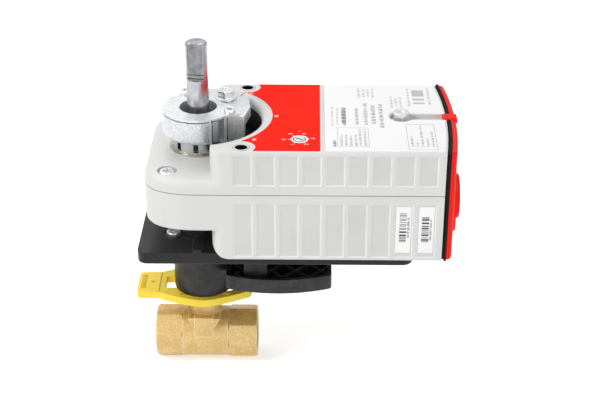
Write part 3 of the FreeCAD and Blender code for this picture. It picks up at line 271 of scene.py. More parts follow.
looks = {
    "housingGrey": {"first": tone(219, 219, 217), "second": tone(215, 215, 213), "driftSize": 0.06,
                    "depth": 0.000012, "smooth": 0.34, "rough": 0.46, "specular": 0.4, "rub": 0.6,
                    "worn": tone(242, 242, 240), "rubWidth": 0.0005},
    "panelGrey": {"first": tone(214, 214, 213), "second": tone(209, 209, 208), "driftSize": 0.03,
                  "grainSize": 0.0005, "depth": 0.00003, "smooth": 0.5, "rough": 0.62, "specular": 0.35},
    # painted highlight: a lighter tone for the sloped borders round the sunk panels
    "bevelHighlight": {"first": tone(229, 229, 228), "second": tone(225, 225, 224), "driftSize": 0.03,
                  "depth": 0.000008, "smooth": 0.3, "rough": 0.4},
    "bracketBlack": {"first": tone(29, 29, 29), "second": tone(22, 22, 22), "driftSize": 0.03,
                     "grainSize": 0.0005, "depth": 0.00003, "smooth": 0.28, "rough": 0.44, "specular": 0.28,
                     "rub": 0.9, "worn": tone(92, 92, 91), "rubWidth": 0.0009},
    "neckBlack": {"first": tone(50, 49, 48), "second": tone(24, 23, 23), "driftSize": 0.008,
                  "grainSize": 0.0006, "depth": 0.00006, "smooth": 0.3, "rough": 0.48, "handSize": 0.006,
                  "specular": 0.36, "rub": 0.4, "worn": tone(88, 86, 84)},
    "gripYellow": {"first": tone(226, 186, 50), "second": tone(216, 176, 44), "driftSize": 0.02,
                   "smooth": 0.4, "rough": 0.5, "specular": 0.3},
    "clipYellow": {"first": tone(255, 228, 78), "second": tone(253, 221, 66), "driftSize": 0.02,
                   "smooth": 0.36, "rough": 0.48, "soft": 0.1, "specular": 0.3, "rub": 0.4,
                   "worn": tone(255, 238, 120)},
    "brassForged": {"first": tone(236, 208, 150), "second": tone(216, 184, 122), "driftSize": 0.007,
                    "speck": tone(204, 172, 112), "skinSize": 0.0013, "depth": 0.00003, "metallic": 0.45,
                    "smooth": 0.32, "rough": 0.52, "handSize": 0.003, "rub": 1.4,
                    "worn": tone(255, 244, 206), "rubWidth": 0.0009},
    "zincCast": {"first": tone(236, 238, 240), "second": tone(214, 218, 221), "driftSize": 0.005,
                 "speck": tone(190, 194, 198), "skinSize": 0.0011, "depth": 0.00003, "metallic": 0.55,
                 "smooth": 0.26, "rough": 0.44, "handSize": 0.002, "rub": 0.8, "worn": tone(252, 252, 253)},
    "zincCap": {"first": tone(240, 241, 242), "second": tone(222, 225, 227), "driftSize": 0.005,
                "speck": tone(206, 210, 213), "skinSize": 0.0010, "depth": 0.00002, "metallic": 0.4,
                "smooth": 0.3, "rough": 0.46, "handSize": 0.002, "rub": 0.8, "worn": tone(255, 255, 255)},
    "zincPlated": {"first": tone(226, 230, 234), "second": tone(230, 229, 222), "driftSize": 0.003,
                   "grainSize": 0.0003, "metallic": 0.85, "smooth": 0.16, "rough": 0.32, "rub": 0.5,
                   "worn": tone(244, 245, 246)},
    "shaftSteel": {"first": tone(186, 187, 191), "second": tone(164, 165, 170), "ringPitch": 0.0004,
                   "depth": 0.000008, "metallic": 1.0, "smooth": 0.18, "rough": 0.3, "handSize": 0.004,
                   "rub": 0.7, "worn": tone(246, 246, 247), "brushed": 0.3},
    "shaftMilled": {"first": tone(150, 151, 154), "second": tone(122, 124, 127), "driftSize": 0.004,
                    "ringPitch": 0.0005, "depth": 0.00002, "metallic": 0.55, "smooth": 0.45, "rough": 0.62,
                    "handSize": 0.004},
    # painted shade: a dark tone for the groove at the foot of the shaft's flat
    "shaftGrooveShade": {"first": tone(70, 70, 73), "second": tone(56, 56, 59), "driftSize": 0.004,
                    "metallic": 0.4, "smooth": 0.5, "rough": 0.65},
    "hubSteel": {"first": tone(206, 208, 210), "second": tone(186, 188, 190), "driftSize": 0.005,
                 "ringPitch": 0.0005, "depth": 0.000012, "metallic": 0.95, "smooth": 0.2, "rough": 0.34,
                 "rub": 0.6, "worn": tone(240, 240, 240)},
    # painted shade: near-black for the cap groove, the hub's slots and the clamp's gaps
    "recessShade": {"first": tone(58, 60, 62), "second": tone(40, 41, 43), "driftSize": 0.003,
                  "grainSize": 0.0005, "depth": 0.00002, "metallic": 0.3, "smooth": 0.5, "rough": 0.65},
    "ringBrass": {"first": tone(206, 200, 178), "second": tone(186, 180, 156), "driftSize": 0.005,
                  "ringPitch": 0.0006, "metallic": 0.9, "smooth": 0.2, "rough": 0.34},
    "redLabel": {"first": tone(255, 34, 8), "second": tone(254, 28, 5), "driftSize": 0.05,
                 "grainSize": 0.0012, "depth": 0.000006, "smooth": 0.5, "rough": 0.6, "specular": 0.06},
    "whiteLabel": {"first": tone(247, 247, 247), "second": tone(244, 244, 244), "driftSize": 0.05,
                   "grainSize": 0.0012, "depth": 0.000006, "smooth": 0.4, "rough": 0.5, "specular": 0.25},
    "gasketBlack": {"first": tone(30, 22, 20), "second": tone(16, 12, 11), "driftSize": 0.004,
                    "speck": tone(8, 7, 7), "skinSize": 0.0008, "depth": 0.00012, "smooth": 0.7,
                    "rough": 0.9, "specular": 0.25},
    # plain near-black: painted shade in the shell joint, the hole bores and the knob's slit, and the well's
    # black band
    "plainBlack": {"first": tone(22, 22, 23), "second": tone(14, 14, 15), "grainSize": 0.0005,
                   "depth": 0.00002, "smooth": 0.4, "rough": 0.55, "specular": 0.3},
    "coverRed": {"first": tone(255, 30, 10), "second": tone(251, 24, 7), "driftSize": 0.03, "smooth": 0.36,
                 "rough": 0.48, "specular": 0.14, "rub": 0.3, "worn": tone(255, 84, 62)},
    "knobWhite": {"first": tone(232, 232, 230), "second": tone(224, 224, 221), "grainSize": 0.0003,
                  "smooth": 0.35, "rough": 0.45},
    "ballChrome": {"first": tone(214, 216, 220), "second": tone(204, 206, 210), "depth": 0.000004,
                   "metallic": 1.0, "smooth": 0.06, "rough": 0.12},
    "seatWhite": {"first": tone(240, 240, 236), "second": tone(232, 232, 227), "depth": 0.000008,
                  "smooth": 0.45, "rough": 0.6, "soft": 0.1},
    "stemSteel": {"first": tone(190, 192, 196), "second": tone(178, 180, 184), "ringPitch": 0.0004,
                  "metallic": 1.0, "smooth": 0.22, "rough": 0.34},
    "sealRubber": {"first": tone(34, 34, 34), "second": tone(26, 26, 26), "driftSize": 0.005,
                   "grainSize": 0.0005, "depth": 0.00003, "smooth": 0.6, "rough": 0.75},
    "bushingBronze": {"first": tone(178, 138, 82), "second": tone(160, 122, 70), "driftSize": 0.004,
                      "speck": tone(110, 82, 46), "skinSize": 0.0006, "depth": 0.00002, "metallic": 0.95,
                      "smooth": 0.35, "rough": 0.5},
    "gearSteel": {"first": tone(158, 161, 166), "second": tone(144, 147, 152), "driftSize": 0.006,
                  "ringPitch": 0.0005, "metallic": 1.0, "smooth": 0.26, "rough": 0.4, "rub": 0.5,
                  "worn": tone(206, 208, 212)},
    "plateSteel": {"first": tone(184, 186, 189), "second": tone(172, 175, 178), "grainSize": 0.0007,
                   "metallic": 1.0, "smooth": 0.28, "rough": 0.42},
    "motorCan": {"first": tone(170, 172, 176), "second": tone(158, 160, 164), "grainSize": 0.0006,
                 "metallic": 1.0, "smooth": 0.24, "rough": 0.36},
    "springBlue": {"first": tone(84, 92, 108), "second": tone(62, 68, 84), "driftSize": 0.004,
                   "grainSize": 0.0006, "metallic": 1.0, "smooth": 0.2, "rough": 0.34},
    "sensorBlack": {"first": tone(44, 44, 46), "second": tone(36, 36, 38), "driftSize": 0.006, "smooth": 0.4,
                    "rough": 0.5},
    "boardGreen": {"first": tone(22, 96, 52), "second": tone(17, 82, 44), "driftSize": 0.012,
                   "grainSize": 0.0008, "smooth": 0.26, "rough": 0.38, "coat": 0.3},
    "terminalGreen": {"first": tone(52, 148, 84), "second": tone(44, 136, 76), "smooth": 0.38, "rough": 0.5},
}
# inks of the printed pieces
printTones = [("printWhite", tone(250, 248, 246), tone(246, 243, 240), 0.35),
              ("printGrey", tone(138, 138, 138), tone(124, 124, 124), 0.4),
              ("printDark", tone(60, 60, 62), tone(48, 48, 50), 0.4),
              ("printRed", tone(250, 52, 30), tone(236, 44, 24), 0.35)]
for name, first, second, smooth in printTones:
    looks[name] = {"first": first, "second": second, "grainSize": 0.0006, "depth": 0.000004,
                   "smooth": smooth, "rough": smooth + 0.1}
surfaces = {name: surface(name, look) for name, look in looks.items()}
nodeSurfaces = {
    "housingGrey": ["lower_housing", "upper_housing"],
    "bracketBlack": ["bracket_plate"],
    "neckBlack": ["bracket_neck"],
    "clipYellow": ["release_clip"],
    "brassForged": ["valve_body", "valve_tail"],
    "zincCast": ["adapter_body"],
    "zincCap": ["adapter_cap"],
    "zincPlated": ["clamp_bolt", "cover_screw", *screwPairs("cap", "corner", "deck", "plate", "post")],
    "shaftSteel": ["drive_shaft"],
    "hubSteel": ["output_hub"],
    "ringBrass": ["hub_ring_upper", "hub_ring_lower"],
    "redLabel": ["red_label"],
    "whiteLabel": ["white_label", "side_sticker_left", "side_sticker_right"],
    "gasketBlack": ["end_gasket"],
    "coverRed": ["end_cover"],
    "knobWhite": ["mode_knob"],
    "ballChrome": ["valve_ball"],
    "seatWhite": ["seat_inlet", "seat_outlet", "flow_insert"],
    "stemSteel": ["valve_stem", "gland_nut"],
    "sealRubber": ["stem_seal_lower", "stem_seal_upper"],
    "bushingBronze": ["neck_bushing"],
    "gearSteel": ["output_gear", "second_gear", "second_arbor", "third_gear", "third_arbor", "motor_rotor",
                  "sensor_gear"],
    "plateSteel": ["gear_plate_lower", "gear_plate_upper", "spring_barrel"],
    "motorCan": ["motor_case"],
    "springBlue": ["main_spring"],
    "sensorBlack": ["sensor_body", "control_chip", "switch_base"],
    "boardGreen": ["circuit_board"],
    "terminalGreen": ["terminal_block"],
}
surfaceOf = {}
for surfaceName, members in nodeSurfaces.items():
    for member in members:
        surfaceOf[member] = surfaces[surfaceName]
        nodes[member].data.materials.clear()
        nodes[member].data.materials.append(surfaces[surfaceName])
print("finishes made:", len(surfaces), "- nodes without one:", sorted(set(nodes) - set(surfaceOf)))


def finishPiece(name, bm, surfaceName, body, smoothAngle=38.0):
    mesh = bpy.data.meshes.new(name)
    bm.to_mesh(mesh)
    bm.free()
    mesh.shade_smooth()
    mesh.set_sharp_from_angle(angle=math.radians(smoothAngle))
    mesh.materials.append(surfaces[surfaceName] if surfaceName in surfaces else surfaceOf[surfaceName])
    piece = bpy.data.objects.new(name, mesh)
    bpy.context.collection.objects.link(piece)
    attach(piece, body)
    return piece


# the seen parts listed here get their moulded or machined edges rounded, in millimetres
edgeRounding = {
    "lower_housing": {"radius": 0.17, "slot": "housing"},
    "upper_housing": {"radius": 0.17, "slot": "housing"},
    "bracket_plate": {"radius": 0.18, "slot": "bracket"},
    "bracket_neck": {"radius": 0.16, "slot": "neck", "split": True},
    "release_clip": {"radius": 0.17, "slot": "clip"},
    "valve_body": {"radius": 0.16, "slot": "brass", "split": True},
    "valve_tail": {"radius": 0.24, "slot": "brass", "split": True},
    "adapter_body": {"radius": 0.16, "slot": "adapter", "split": True},
    "adapter_cap": {"radius": 0.09, "slot": "adapter"},
    "end_cover": {"radius": 0.13, "slot": "cover"},
    "drive_shaft": {"radius": 0.06, "slot": "shaft"},
    "output_hub": {"radius": 0.15, "slot": "hub"},
    "clamp_bolt": {"radius": 0.18, "slot": "screw"},
    "cover_screw": {"radius": 0.18, "slot": "screw"},
    **{node: {"radius": 0.1, "slot": "screw"} for node in screwPairs("cap", "deck", "plate")},
    "mode_knob": {"radius": 0.12, "slot": "knob"},
    "terminal_block": {"radius": 0.2, "slot": "terminal"},
}


def mergedCopy(node, mergeDistance=2e-6):
    bm = bmesh.new()
    bm.from_mesh(nodes[node].data)
    bmesh.ops.remove_doubles(bm, verts=bm.verts, dist=mergeDistance)
    return bm


def roundedCopy(node, radius, split, flat=0.7, sharpest=32.0):
    bm = mergedCopy(node)
    bmesh.ops.dissolve_degenerate(bm, edges=bm.edges, dist=1e-6)
    bmesh.ops.dissolve_limit(bm, angle_limit=math.radians(flat), verts=bm.verts, edges=bm.edges)
    if split:  # dented faces are cut up first, so that no face folds over when its corners move
        bmesh.ops.connect_verts_concave(bm, faces=bm.faces)
    edges = [e for e in bm.edges if len(e.link_faces) == 2 and e.calc_face_angle(0) > math.radians(sharpest)
             and min(f.calc_area() for f in e.link_faces) > (radius * mm) ** 2]
    bmesh.ops.bevel(bm, geom=edges, offset=radius * mm, offset_type="OFFSET", segments=2, profile=0.5,
                    affect="EDGES", clamp_overlap=False, loop_slide=True, material=-1)
    bmesh.ops.triangulate(bm, faces=[f for f in bm.faces if len(f.verts) > 4], ngon_method="BEAUTY")
    words = node.split("_")
    name = words[0] + "".join(w.capitalize() for w in words[1:]) + "Rounded"
    piece = finishPiece(name, bm, node, bodyOf(node))
    weighted = piece.modifiers.new("flatFaces", "WEIGHTED_NORMAL")
    weighted.keep_sharp = True
    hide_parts(node)
    return piece


rounded = {}
for node, rounding in edgeRounding.items():
    rounded[node] = roundedCopy(node, rounding["radius"], rounding.get("split", False))
    print("rounded", node, len(rounded[node].data.polygons))


def paintFaces(piece, surfaceName, isThere):
    piece.data.materials.append(surfaces[surfaceName])
    slotIndex = len(piece.data.materials) - 1
    painted = 0
    for face in piece.data.polygons:
        middle = face.center
        if isThere((middle.x - stemX) / mm, middle.y / mm, middle.z / mm, face.normal):
            face.material_index = slotIndex
            painted += 1
    print("painted", piece.name, surfaceName, painted)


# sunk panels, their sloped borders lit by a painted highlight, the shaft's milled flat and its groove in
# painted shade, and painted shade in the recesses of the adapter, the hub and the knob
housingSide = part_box("lower_housing")[1].y / mm
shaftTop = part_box("drive_shaft")[1].z / mm
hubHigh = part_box("output_hub")[1].z / mm
drumRadius = (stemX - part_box("adapter_body")[0].x) / mm
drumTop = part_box("adapter_body")[1].z / mm
facePaint = {"panelSunk": 0.6, "near": 0.05, "panelsFrom": 20, "slope": (0.3, 0.97), "border": (0.02, 0.03),
             "labelGap": 2.0, "flatTurn": -8.0, "flatDepth": 4.9, "flatLength": 24.6, "grooveDepth": 0.5,
             "grooveEnd": 6, "capGroove": (0.9, 0.35, 0.8, 0.1), "slotHeight": 6.9, "slotRing": (12.5, 17.25)}
sunk = housingSide - facePaint["panelSunk"]
gentle, steep = facePaint["slope"]
borderIn, borderOut = facePaint["border"]
for node in ("lower_housing", "upper_housing"):
    paintFaces(rounded[node], "panelGrey",
               lambda x, y, z, n: abs(n.y) > 0.999 and abs(abs(y) - sunk) < facePaint["near"])
    # the sloped panel borders get the painted highlight
    paintFaces(rounded[node], "bevelHighlight",
               lambda x, y, z, n: x > facePaint["panelsFrom"] and gentle < abs(n.y) < steep
               and sunk - borderIn < abs(y) < housingSide - borderOut
               and abs(z - labelTop / mm) > facePaint["labelGap"])
flatWay = Matrix.Rotation(math.radians(facePaint["flatTurn"]), 3, "Z") @ Vector((0, -1, 0))
flatLow = shaftTop - facePaint["flatLength"]
flatDepth = facePaint["flatDepth"]


def acrossFlat(x, y):
    return x * flatWay.x + y * flatWay.y


def insideRing(x, y, inner, outer):
    return inner < math.hypot(x, y) < outer


paintFaces(rounded["drive_shaft"], "shaftMilled",
           lambda x, y, z, n: z > flatLow and n.dot(flatWay) > 0.99
           and acrossFlat(x, y) > flatDepth - facePaint["near"])
# the groove at the foot of the flat gets painted shade
paintFaces(rounded["drive_shaft"], "shaftGrooveShade",
           lambda x, y, z, n: flatLow < z < flatLow + facePaint["grooveEnd"]
           and flatDepth - facePaint["grooveDepth"] < acrossFlat(x, y) < flatDepth - 0.02
           and (n.dot(flatWay) > 0.9 or abs(n.z) > 0.5))
grooveIn, grooveOut, grooveDown, grooveUp = facePaint["capGroove"]
# painted shade in the groove under the adapter's cap and in the hub's slots
paintFaces(rounded["adapter_body"], "recessShade",
           lambda x, y, z, n: drumTop - grooveDown < z < drumTop + grooveUp
           and insideRing(x, y, drumRadius - grooveIn, drumRadius - grooveOut))
paintFaces(rounded["output_hub"], "recessShade",
           lambda x, y, z, n: z > hubHigh - facePaint["slotHeight"] and abs(n.z) < 0.9
           and insideRing(x, y, *facePaint["slotRing"]))


def bars(bm, spots, low, high, standing=False):
    # spots are (x0, x1, y0, y1) in millimetres; standing bars take y as the height in millimetres
    for x0, x1, y0, y1 in spots:
        if standing:
            middle = Vector((stemX + (x0 + x1) / 2 * mm, (low + high) / 2, (y0 + y1) / 2 * mm))
            size = (abs(x1 - x0) * mm, abs(high - low), abs(y1 - y0) * mm)
        else:
            middle = place((x0 + x1) / 2, (y0 + y1) / 2, (low + high) / 2)
            size = (abs(x1 - x0) * mm, abs(y1 - y0) * mm, abs(high - low))
        bmesh.ops.create_cube(bm, size=1.0, matrix=Matrix.Translation(middle) @ Matrix.Diagonal((*size, 1)))


def slab(bm, middle, turn, size):  # a box of this size in millimetres, turned about the upright axis
    bmesh.ops.create_cube(bm, size=1.0, matrix=Matrix.Translation(middle) @ Matrix.Rotation(turn, 4, "Z")
                          @ Matrix.Diagonal((*(s * mm for s in size), 1)))


def arc(x, y, radius, first, last, steps):  # points on a circle, with both ends
    return [(x + radius * math.cos(a), y + radius * math.sin(a))
            for a in (first + (last - first) * k / steps for k in range(steps + 1))]


def raiseFaces(bm, faces, height):  # makes flat faces a slab up to this height
    for v in bmesh.ops.extrude_face_region(bm, geom=faces)["geom"]:
        if isinstance(v, bmesh.types.BMVert):
            v.co.z = height
    bmesh.ops.recalc_face_normals(bm, faces=bm.faces)


def skin(bm, loops):  # walls from each ring of vertices to the next
    for here, there in zip(loops, loops[1:]):
        for k in range(len(here)):
            after = (k + 1) % len(here)
            bm.faces.new((here[k], here[after], there[after], there[k]))


# which strokes start late or end early, as a limit and a share of the width, and the gap between groups
strokeForm = {"late": (0.72, 0.35), "early": (0.86, 0.25), "groupGap": 2.2, "group": (3, 8)}


def strokes(seed, x0, x1, y0, y1, wide, gap):  # short strokes across a line along y, in word-like groups
    dice = random.Random(seed)
    made, y, left = [], min(y0, y1), dice.randint(*strokeForm["group"])
    top = max(y0, y1)
    lateFrom, lateShare = strokeForm["late"]
    earlyFrom, earlyShare = strokeForm["early"]
    while y + wide < top:
        kind = dice.random()
        first = x0 if kind < lateFrom else x0 + (x1 - x0) * lateShare
        last = x1 if kind < earlyFrom else x1 - (x1 - x0) * earlyShare
        made.append((first, last, y, y + wide))
        y += wide + gap
        left -= 1
        if left == 0:
            y += gap * strokeForm["groupGap"]
            left = dice.randint(*strokeForm["group"])
    return made


def addNumber(bm, words, height, x, y, z, turn, capShare=0.72, thick=0.00003):
    curve = bpy.data.curves.new("number" + words, "FONT")
    curve.body = words
    curve.size = height / capShare * mm
    curve.align_x = "CENTER"
    curve.align_y = "CENTER"
    curve.extrude = thick
    holder = bpy.data.objects.new("number" + words, curve)
    bpy.context.collection.objects.link(holder)
    bpy.context.view_layer.update()
    mesh = bpy.data.meshes.new_from_object(holder.evaluated_get(bpy.context.evaluated_depsgraph_get()))
    bpy.data.objects.remove(holder)
    mesh.transform(Matrix.Translation(place(x, y, z)) @ Matrix.Rotation(math.radians(turn), 4, "Z"))
    bm.from_mesh(mesh)
    bpy.data.meshes.remove(mesh)


# white print on the red label: the stroke numbers round the well and the mode dial
dialPrint = {
    "height": 2.65, "turn": 90.0,
    "stroke": [("0", 32.7, 36.0), ("45", 50.0, -0.5), ("90", 37.2, -35.9)],
    "dial": [("0", 55.4, -35.4), ("1", 60.9, -42.1), ("2", 69.2, -42.0), ("3", 73.2, -33.7),
             ("4", 67.8, -26.9), ("5", 59.3, -27.0)],
    "tips": [(57.6, -35.2), (61.6, -40.9), (68.1, -40.8), (71.1, -33.9), (67.5, -29.2), (60.6, -29.3)],
    "discRadius": 5.4, "ringRadius": 4.1, "holeRadius": 3.52, "dot": (64.2, 65.0, -23.8, -23.2),
}
lowPrint = labelTop - 0.00001
highPrint = labelTop + 0.00002
knobLow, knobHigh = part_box("mode_knob")
knobX = ((knobLow.x + knobHigh.x) / 2 - stemX) / mm
knobY = (knobLow.y + knobHigh.y) / 2 / mm


def ringPrint(bm, inner, outer, tips=(), count=72):
    spot = Matrix.Translation(place(knobX, knobY, lowPrint))
    rim, hole = (bmesh.ops.create_circle(bm, cap_ends=False, segments=count, radius=radius * mm,
                                         matrix=spot)["verts"] for radius in (outer, inner))
    for x, y in tips:
        tip = place(x, y, lowPrint)
        near = min(rim, key=lambda v: (v.co - tip).length)
        near.co = tip
    edges = [e for e in bm.edges if all(v in rim for v in e.verts) or all(v in hole for v in e.verts)]
    raiseFaces(bm, bmesh.ops.bridge_loops(bm, edges=edges)["faces"], highPrint)


numbers = bmesh.new()
for words, x, y in dialPrint["stroke"] + dialPrint["dial"]:
    addNumber(numbers, words, dialPrint["height"], x, y, highPrint, dialPrint["turn"])
finishPiece("dialNumbers", numbers, "printWhite", "frame")
star = bmesh.new()
ringPrint(star, dialPrint["ringRadius"], dialPrint["discRadius"], dialPrint["tips"])
bars(star, [dialPrint["dot"]], lowPrint, highPrint)
finishPiece("dialStar", star, "printWhite", "frame")
ring = bmesh.new()
ringPrint(ring, dialPrint["holeRadius"], dialPrint["ringRadius"])
finishPiece("dialRing", ring, "gasketBlack", "frame")

# generic lines and bars stand where the white label is printed
labelPrint = {
    "line": 0.22, "barStep": 0.62, "barWide": (0.42, 0.26, 0.26), "markSizes": (0.95, 0.65),
    "faintStroke": (0.2, 0.42), "plainStroke": (0.26, 0.42), "boldStroke": (0.5, 0.24),
    "tables": [(88.3, 107.7, -45.2, -17.4), (131.5, 149.2, -49.0, -12.0)],
    "faint": [(84.6, 86.0, -14.9, 15.6), (87.9, 89.2, -12.1, 12.8), (102.1, 104.2, 29.8, 46.1),
              (105.4, 107.2, 31.0, 45.0), (108.4, 110.2, 31.5, 44.2), (111.6, 113.2, 30.2, 45.0),
              (123.4, 125.0, 14.0, 32.2), (126.4, 128.0, 16.2, 30.8), (129.4, 131.0, 13.4, 31.2),
              (134.9, 136.5, 16.4, 45.0), (148.3, 150.0, 19.4, 45.2)],
    "plain": [(90.0, 91.5, -44.0, -28.0), (92.9, 94.4, -44.0, -28.0), (95.9, 97.4, -44.0, -28.0),
              (98.9, 100.4, -44.0, -28.0), (101.6, 103.1, -44.0, -19.0), (104.6, 106.1, -44.0, -19.0),
              (100.0, 102.1, -12.6, 13.0), (105.4, 108.0, -13.2, 20.9), (110.2, 113.0, -11.1, 18.1),
              (115.4, 118.0, -17.1, 18.9), (133.4, 134.8, -41.5, -28.7), (136.5, 137.9, -41.5, -38.0),
              (139.7, 141.1, -41.5, -12.7), (143.0, 144.4, -41.5, -32.5), (146.2, 147.6, -41.5, -22.0)],
    "bold": [(91.3, 94.2, -13.4, 13.6), (85.4, 87.5, -44.8, -36.5)],
    "blocks": [(138.4, 146.1, 32.5, 42.8), (138.4, 146.1, 25.9, 29.1), (138.4, 146.1, 20.1, 22.9)],
    "marks": [(134.1, -43.4), (137.2, -43.4), (140.4, -43.4), (143.7, -43.4), (146.9, -43.4)],
}
greyPrint = bmesh.new()
line = labelPrint["line"]
for x0, x1, y0, y1 in labelPrint["tables"]:
    bars(greyPrint, [(x0, x0 + line, y0, y1), (x1 - line, x1, y0, y1), (x0, x1, y0, y0 + line),
                     (x0, x1, y1 - line, y1)], lowPrint, highPrint)
for index, spot in enumerate(labelPrint["faint"]):
    bars(greyPrint, strokes(index, *spot, *labelPrint["faintStroke"]), lowPrint, highPrint)
step = labelPrint["barStep"]
for x0, x1, y0, y1 in labelPrint["blocks"]:
    bars(greyPrint, [(x0, x1, y0 + i * step, y0 + i * step + labelPrint["barWide"][i % 3])
                     for i in range(int((y1 - y0) / step))], lowPrint, highPrint)
finishPiece("labelPrintGrey", greyPrint, "printGrey", "frame")
darkPrint = bmesh.new()
for kind, firstSeed in (("plain", 100), ("bold", 200)):
    for index, spot in enumerate(labelPrint[kind]):
        bars(darkPrint, strokes(firstSeed + index, *spot, *labelPrint[kind + "Stroke"]), lowPrint, highPrint)
for x, y in labelPrint["marks"]:
    spot = Matrix.Translation(place(x, y, lowPrint))
    for size in labelPrint["markSizes"]:
        bmesh.ops.create_circle(darkPrint, cap_ends=False, segments=4, radius=size * mm, matrix=spot)
    loops = [e for e in darkPrint.edges if not e.link_faces]
    raiseFaces(darkPrint, bmesh.ops.bridge_loops(darkPrint, edges=loops)["faces"], highPrint)
finishPiece("labelPrintDark", darkPrint, "printDark", "frame")
knobSlit = {"radius": 3.1, "below": 0.2, "depth": 1.5}
# painted shade inside the knob's slit
paintFaces(rounded["mode_knob"], "plainBlack",
           lambda x, y, z, n: labelTop / mm - knobSlit["depth"] < z < knobHigh.z / mm - knobSlit["below"]
           and math.hypot(x - knobX, y - knobY) < knobSlit["radius"])
print("labels printed")

# bars on the two side stickers, as shares of the sticker's width and height
stickerBars = {"thick": (0.45, 0.45, 0.8, 1.2), "gap": (0.45, 0.6, 1.1), "stroke": (0.3, 0.3), "proud": 0.02}
stickerPrint = {
    "left": {"bars": (0.24, 0.70, 0.14, 0.76), "line": (0.74, 0.90, 0.22, 0.66), "seed": 31},
    "right": {"bars": (0.20, 0.68, 0.22, 0.78), "line": (0.73, 0.86, 0.28, 0.72), "seed": 47},
}
for side, marks in stickerPrint.items():
    low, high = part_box("side_sticker_" + side)
    wide, tall = (high.x - low.x) / mm, (high.z - low.z) / mm
    left, top = (low.x - stemX) / mm, high.z / mm
    dice = random.Random(marks["seed"])
    sticker = bmesh.new()
    x0, x1, y0, y1 = marks["bars"]
    down = y0 * tall
    spots = []
    while down < y1 * tall:
        thick = dice.choice(stickerBars["thick"])
        spots.append((left + x0 * wide, left + x1 * wide, top - down - thick, top - down))
        down += thick + dice.choice(stickerBars["gap"])
    x0, x1, y0, y1 = marks["line"]
    spots += strokes(marks["seed"], left + x0 * wide, left + x1 * wide, top - y1 * tall, top - y0 * tall,
                     *stickerBars["stroke"])
    proud = stickerBars["proud"] * mm
    bars(sticker, spots, low.y - proud, low.y + proud, standing=True)
    finishPiece("stickerPrint" + side.capitalize(), sticker, "printDark", "frame")

# pipe threads inside both ports
portThread = {"root": 12.05, "crest": 11.2, "pitch": 1.814, "fill": 0.92, "turns": 7, "steps": 48,
              "inset": 1.0}
for name, node, towards in (("inletThread", "valve_body", 1), ("outletThread", "valve_tail", -1)):
    low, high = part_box(node)
    start = (low.x if towards > 0 else high.x) + towards * portThread["inset"] * mm
    thread = bmesh.new()
    half = portThread["pitch"] / 2 * portThread["fill"] * mm
    corners = [(start - half, portThread["root"]), (start, portThread["crest"]),
               (start + half, portThread["root"])]
    ridge = thread.faces.new([thread.verts.new((x, 0, r * mm)) for x, r in corners])
    total = portThread["steps"] * portThread["turns"]
    bmesh.ops.spin(thread, geom=[ridge, *ridge.edges, *ridge.verts], cent=(0, 0, 0), axis=(1, 0, 0),
                   dvec=(towards * portThread["pitch"] / portThread["steps"] * mm, 0, 0),
                   angle=2 * math.pi * portThread["turns"], steps=total, use_duplicate=False)
    bmesh.ops.recalc_face_normals(thread, faces=thread.faces)
    finishPiece(name, thread, "brassForged", "frame")
print("threads cut")


def turnedPiece(name, profile, centre, surfaceName, body, first=0.0, sweep=360.0, steps=64):
    # profile points are (radius, height) in millimetres, turned about an upright axis through centre
    bm = bmesh.new()
    start = Matrix.Rotation(math.radians(first), 3, "Z")
    points = [centre + start @ Vector((r * mm, 0, 0)) + Vector((0, 0, z * mm)) for r, z in profile]
    face = bm.faces.new([bm.verts.new(point) for point in points])
    whole = sweep == 360.0
    bmesh.ops.spin(bm, geom=[face, *face.edges, *face.verts], cent=centre, axis=(0, 0, 1),
                   angle=math.radians(sweep), steps=steps, use_merge=whole, use_duplicate=False)
    if whole:  # the profile itself stays inside the ring
        bmesh.ops.delete(bm, geom=[f for f in bm.faces if len(f.verts) == len(profile)], context="FACES_ONLY")
    bmesh.ops.recalc_face_normals(bm, faces=bm.faces)
    return finishPiece(name, bm, surfaceName, body)


# a lip at each corner screw hole, with a grey ring of painted shadow round it and a black bore of painted
# shade
cornerHole = {
    "lip": [(3.95, -0.5), (3.95, 0.1), (4.15, 0.32), (4.7, 0.32), (5.1, -0.05), (5.1, -0.5)],
    "shade": [(5.05, -0.4), (5.05, 0.02), (5.2, 0.06), (5.35, 0.02), (5.35, -0.4)],
    "bore": [(3.88, -22.6), (3.88, -0.35), (3.8, -0.25), (3.72, -0.35), (3.72, -22.6)],
}
for side in ("front", "back"):
    low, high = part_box("corner_screw_" + side)
    centre = Vector(((low.x + high.x) / 2, (low.y + high.y) / 2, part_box("upper_housing")[1].z))
    for kind, surfaceName in (("lip", "housingGrey"), ("shade", "printGrey"), ("bore", "plainBlack")):
        turnedPiece("hole" + kind.capitalize() + side.capitalize(), cornerHole[kind], centre, surfaceName,
                    "frame")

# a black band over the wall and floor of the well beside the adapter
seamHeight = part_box("upper_housing")[0].z
wellBlack = {"wall": [(40.42, 9.0), (40.42, 24.2), (40.25, 24.4), (40.05, 24.2), (40.05, 9.3), (39.0, 9.0)],
              "reach": 74.0, "floorLow": 9.02, "floorHigh": 9.35, "outer": 40.3, "inner": 20.6, "left": 10.5,
              "wallSteps": 56, "floorSteps": 40}
turnedPiece("wellWall", wellBlack["wall"], place(0, 0, seamHeight), "plainBlack", "frame",
            -wellBlack["reach"], 2 * wellBlack["reach"], wellBlack["wallSteps"])
floorPiece = bmesh.new()
outline = []
for radius, sense in ((wellBlack["outer"], 1), (wellBlack["inner"], -1)):
    reach = sense * math.acos(wellBlack["left"] / radius)
    outline += arc(0, 0, radius, -reach, reach, wellBlack["floorSteps"])
face = floorPiece.faces.new([floorPiece.verts.new(place(x, y, seamHeight + wellBlack["floorLow"] * mm))
                             for x, y in outline])
raiseFaces(floorPiece, [face], seamHeight + wellBlack["floorHigh"] * mm)
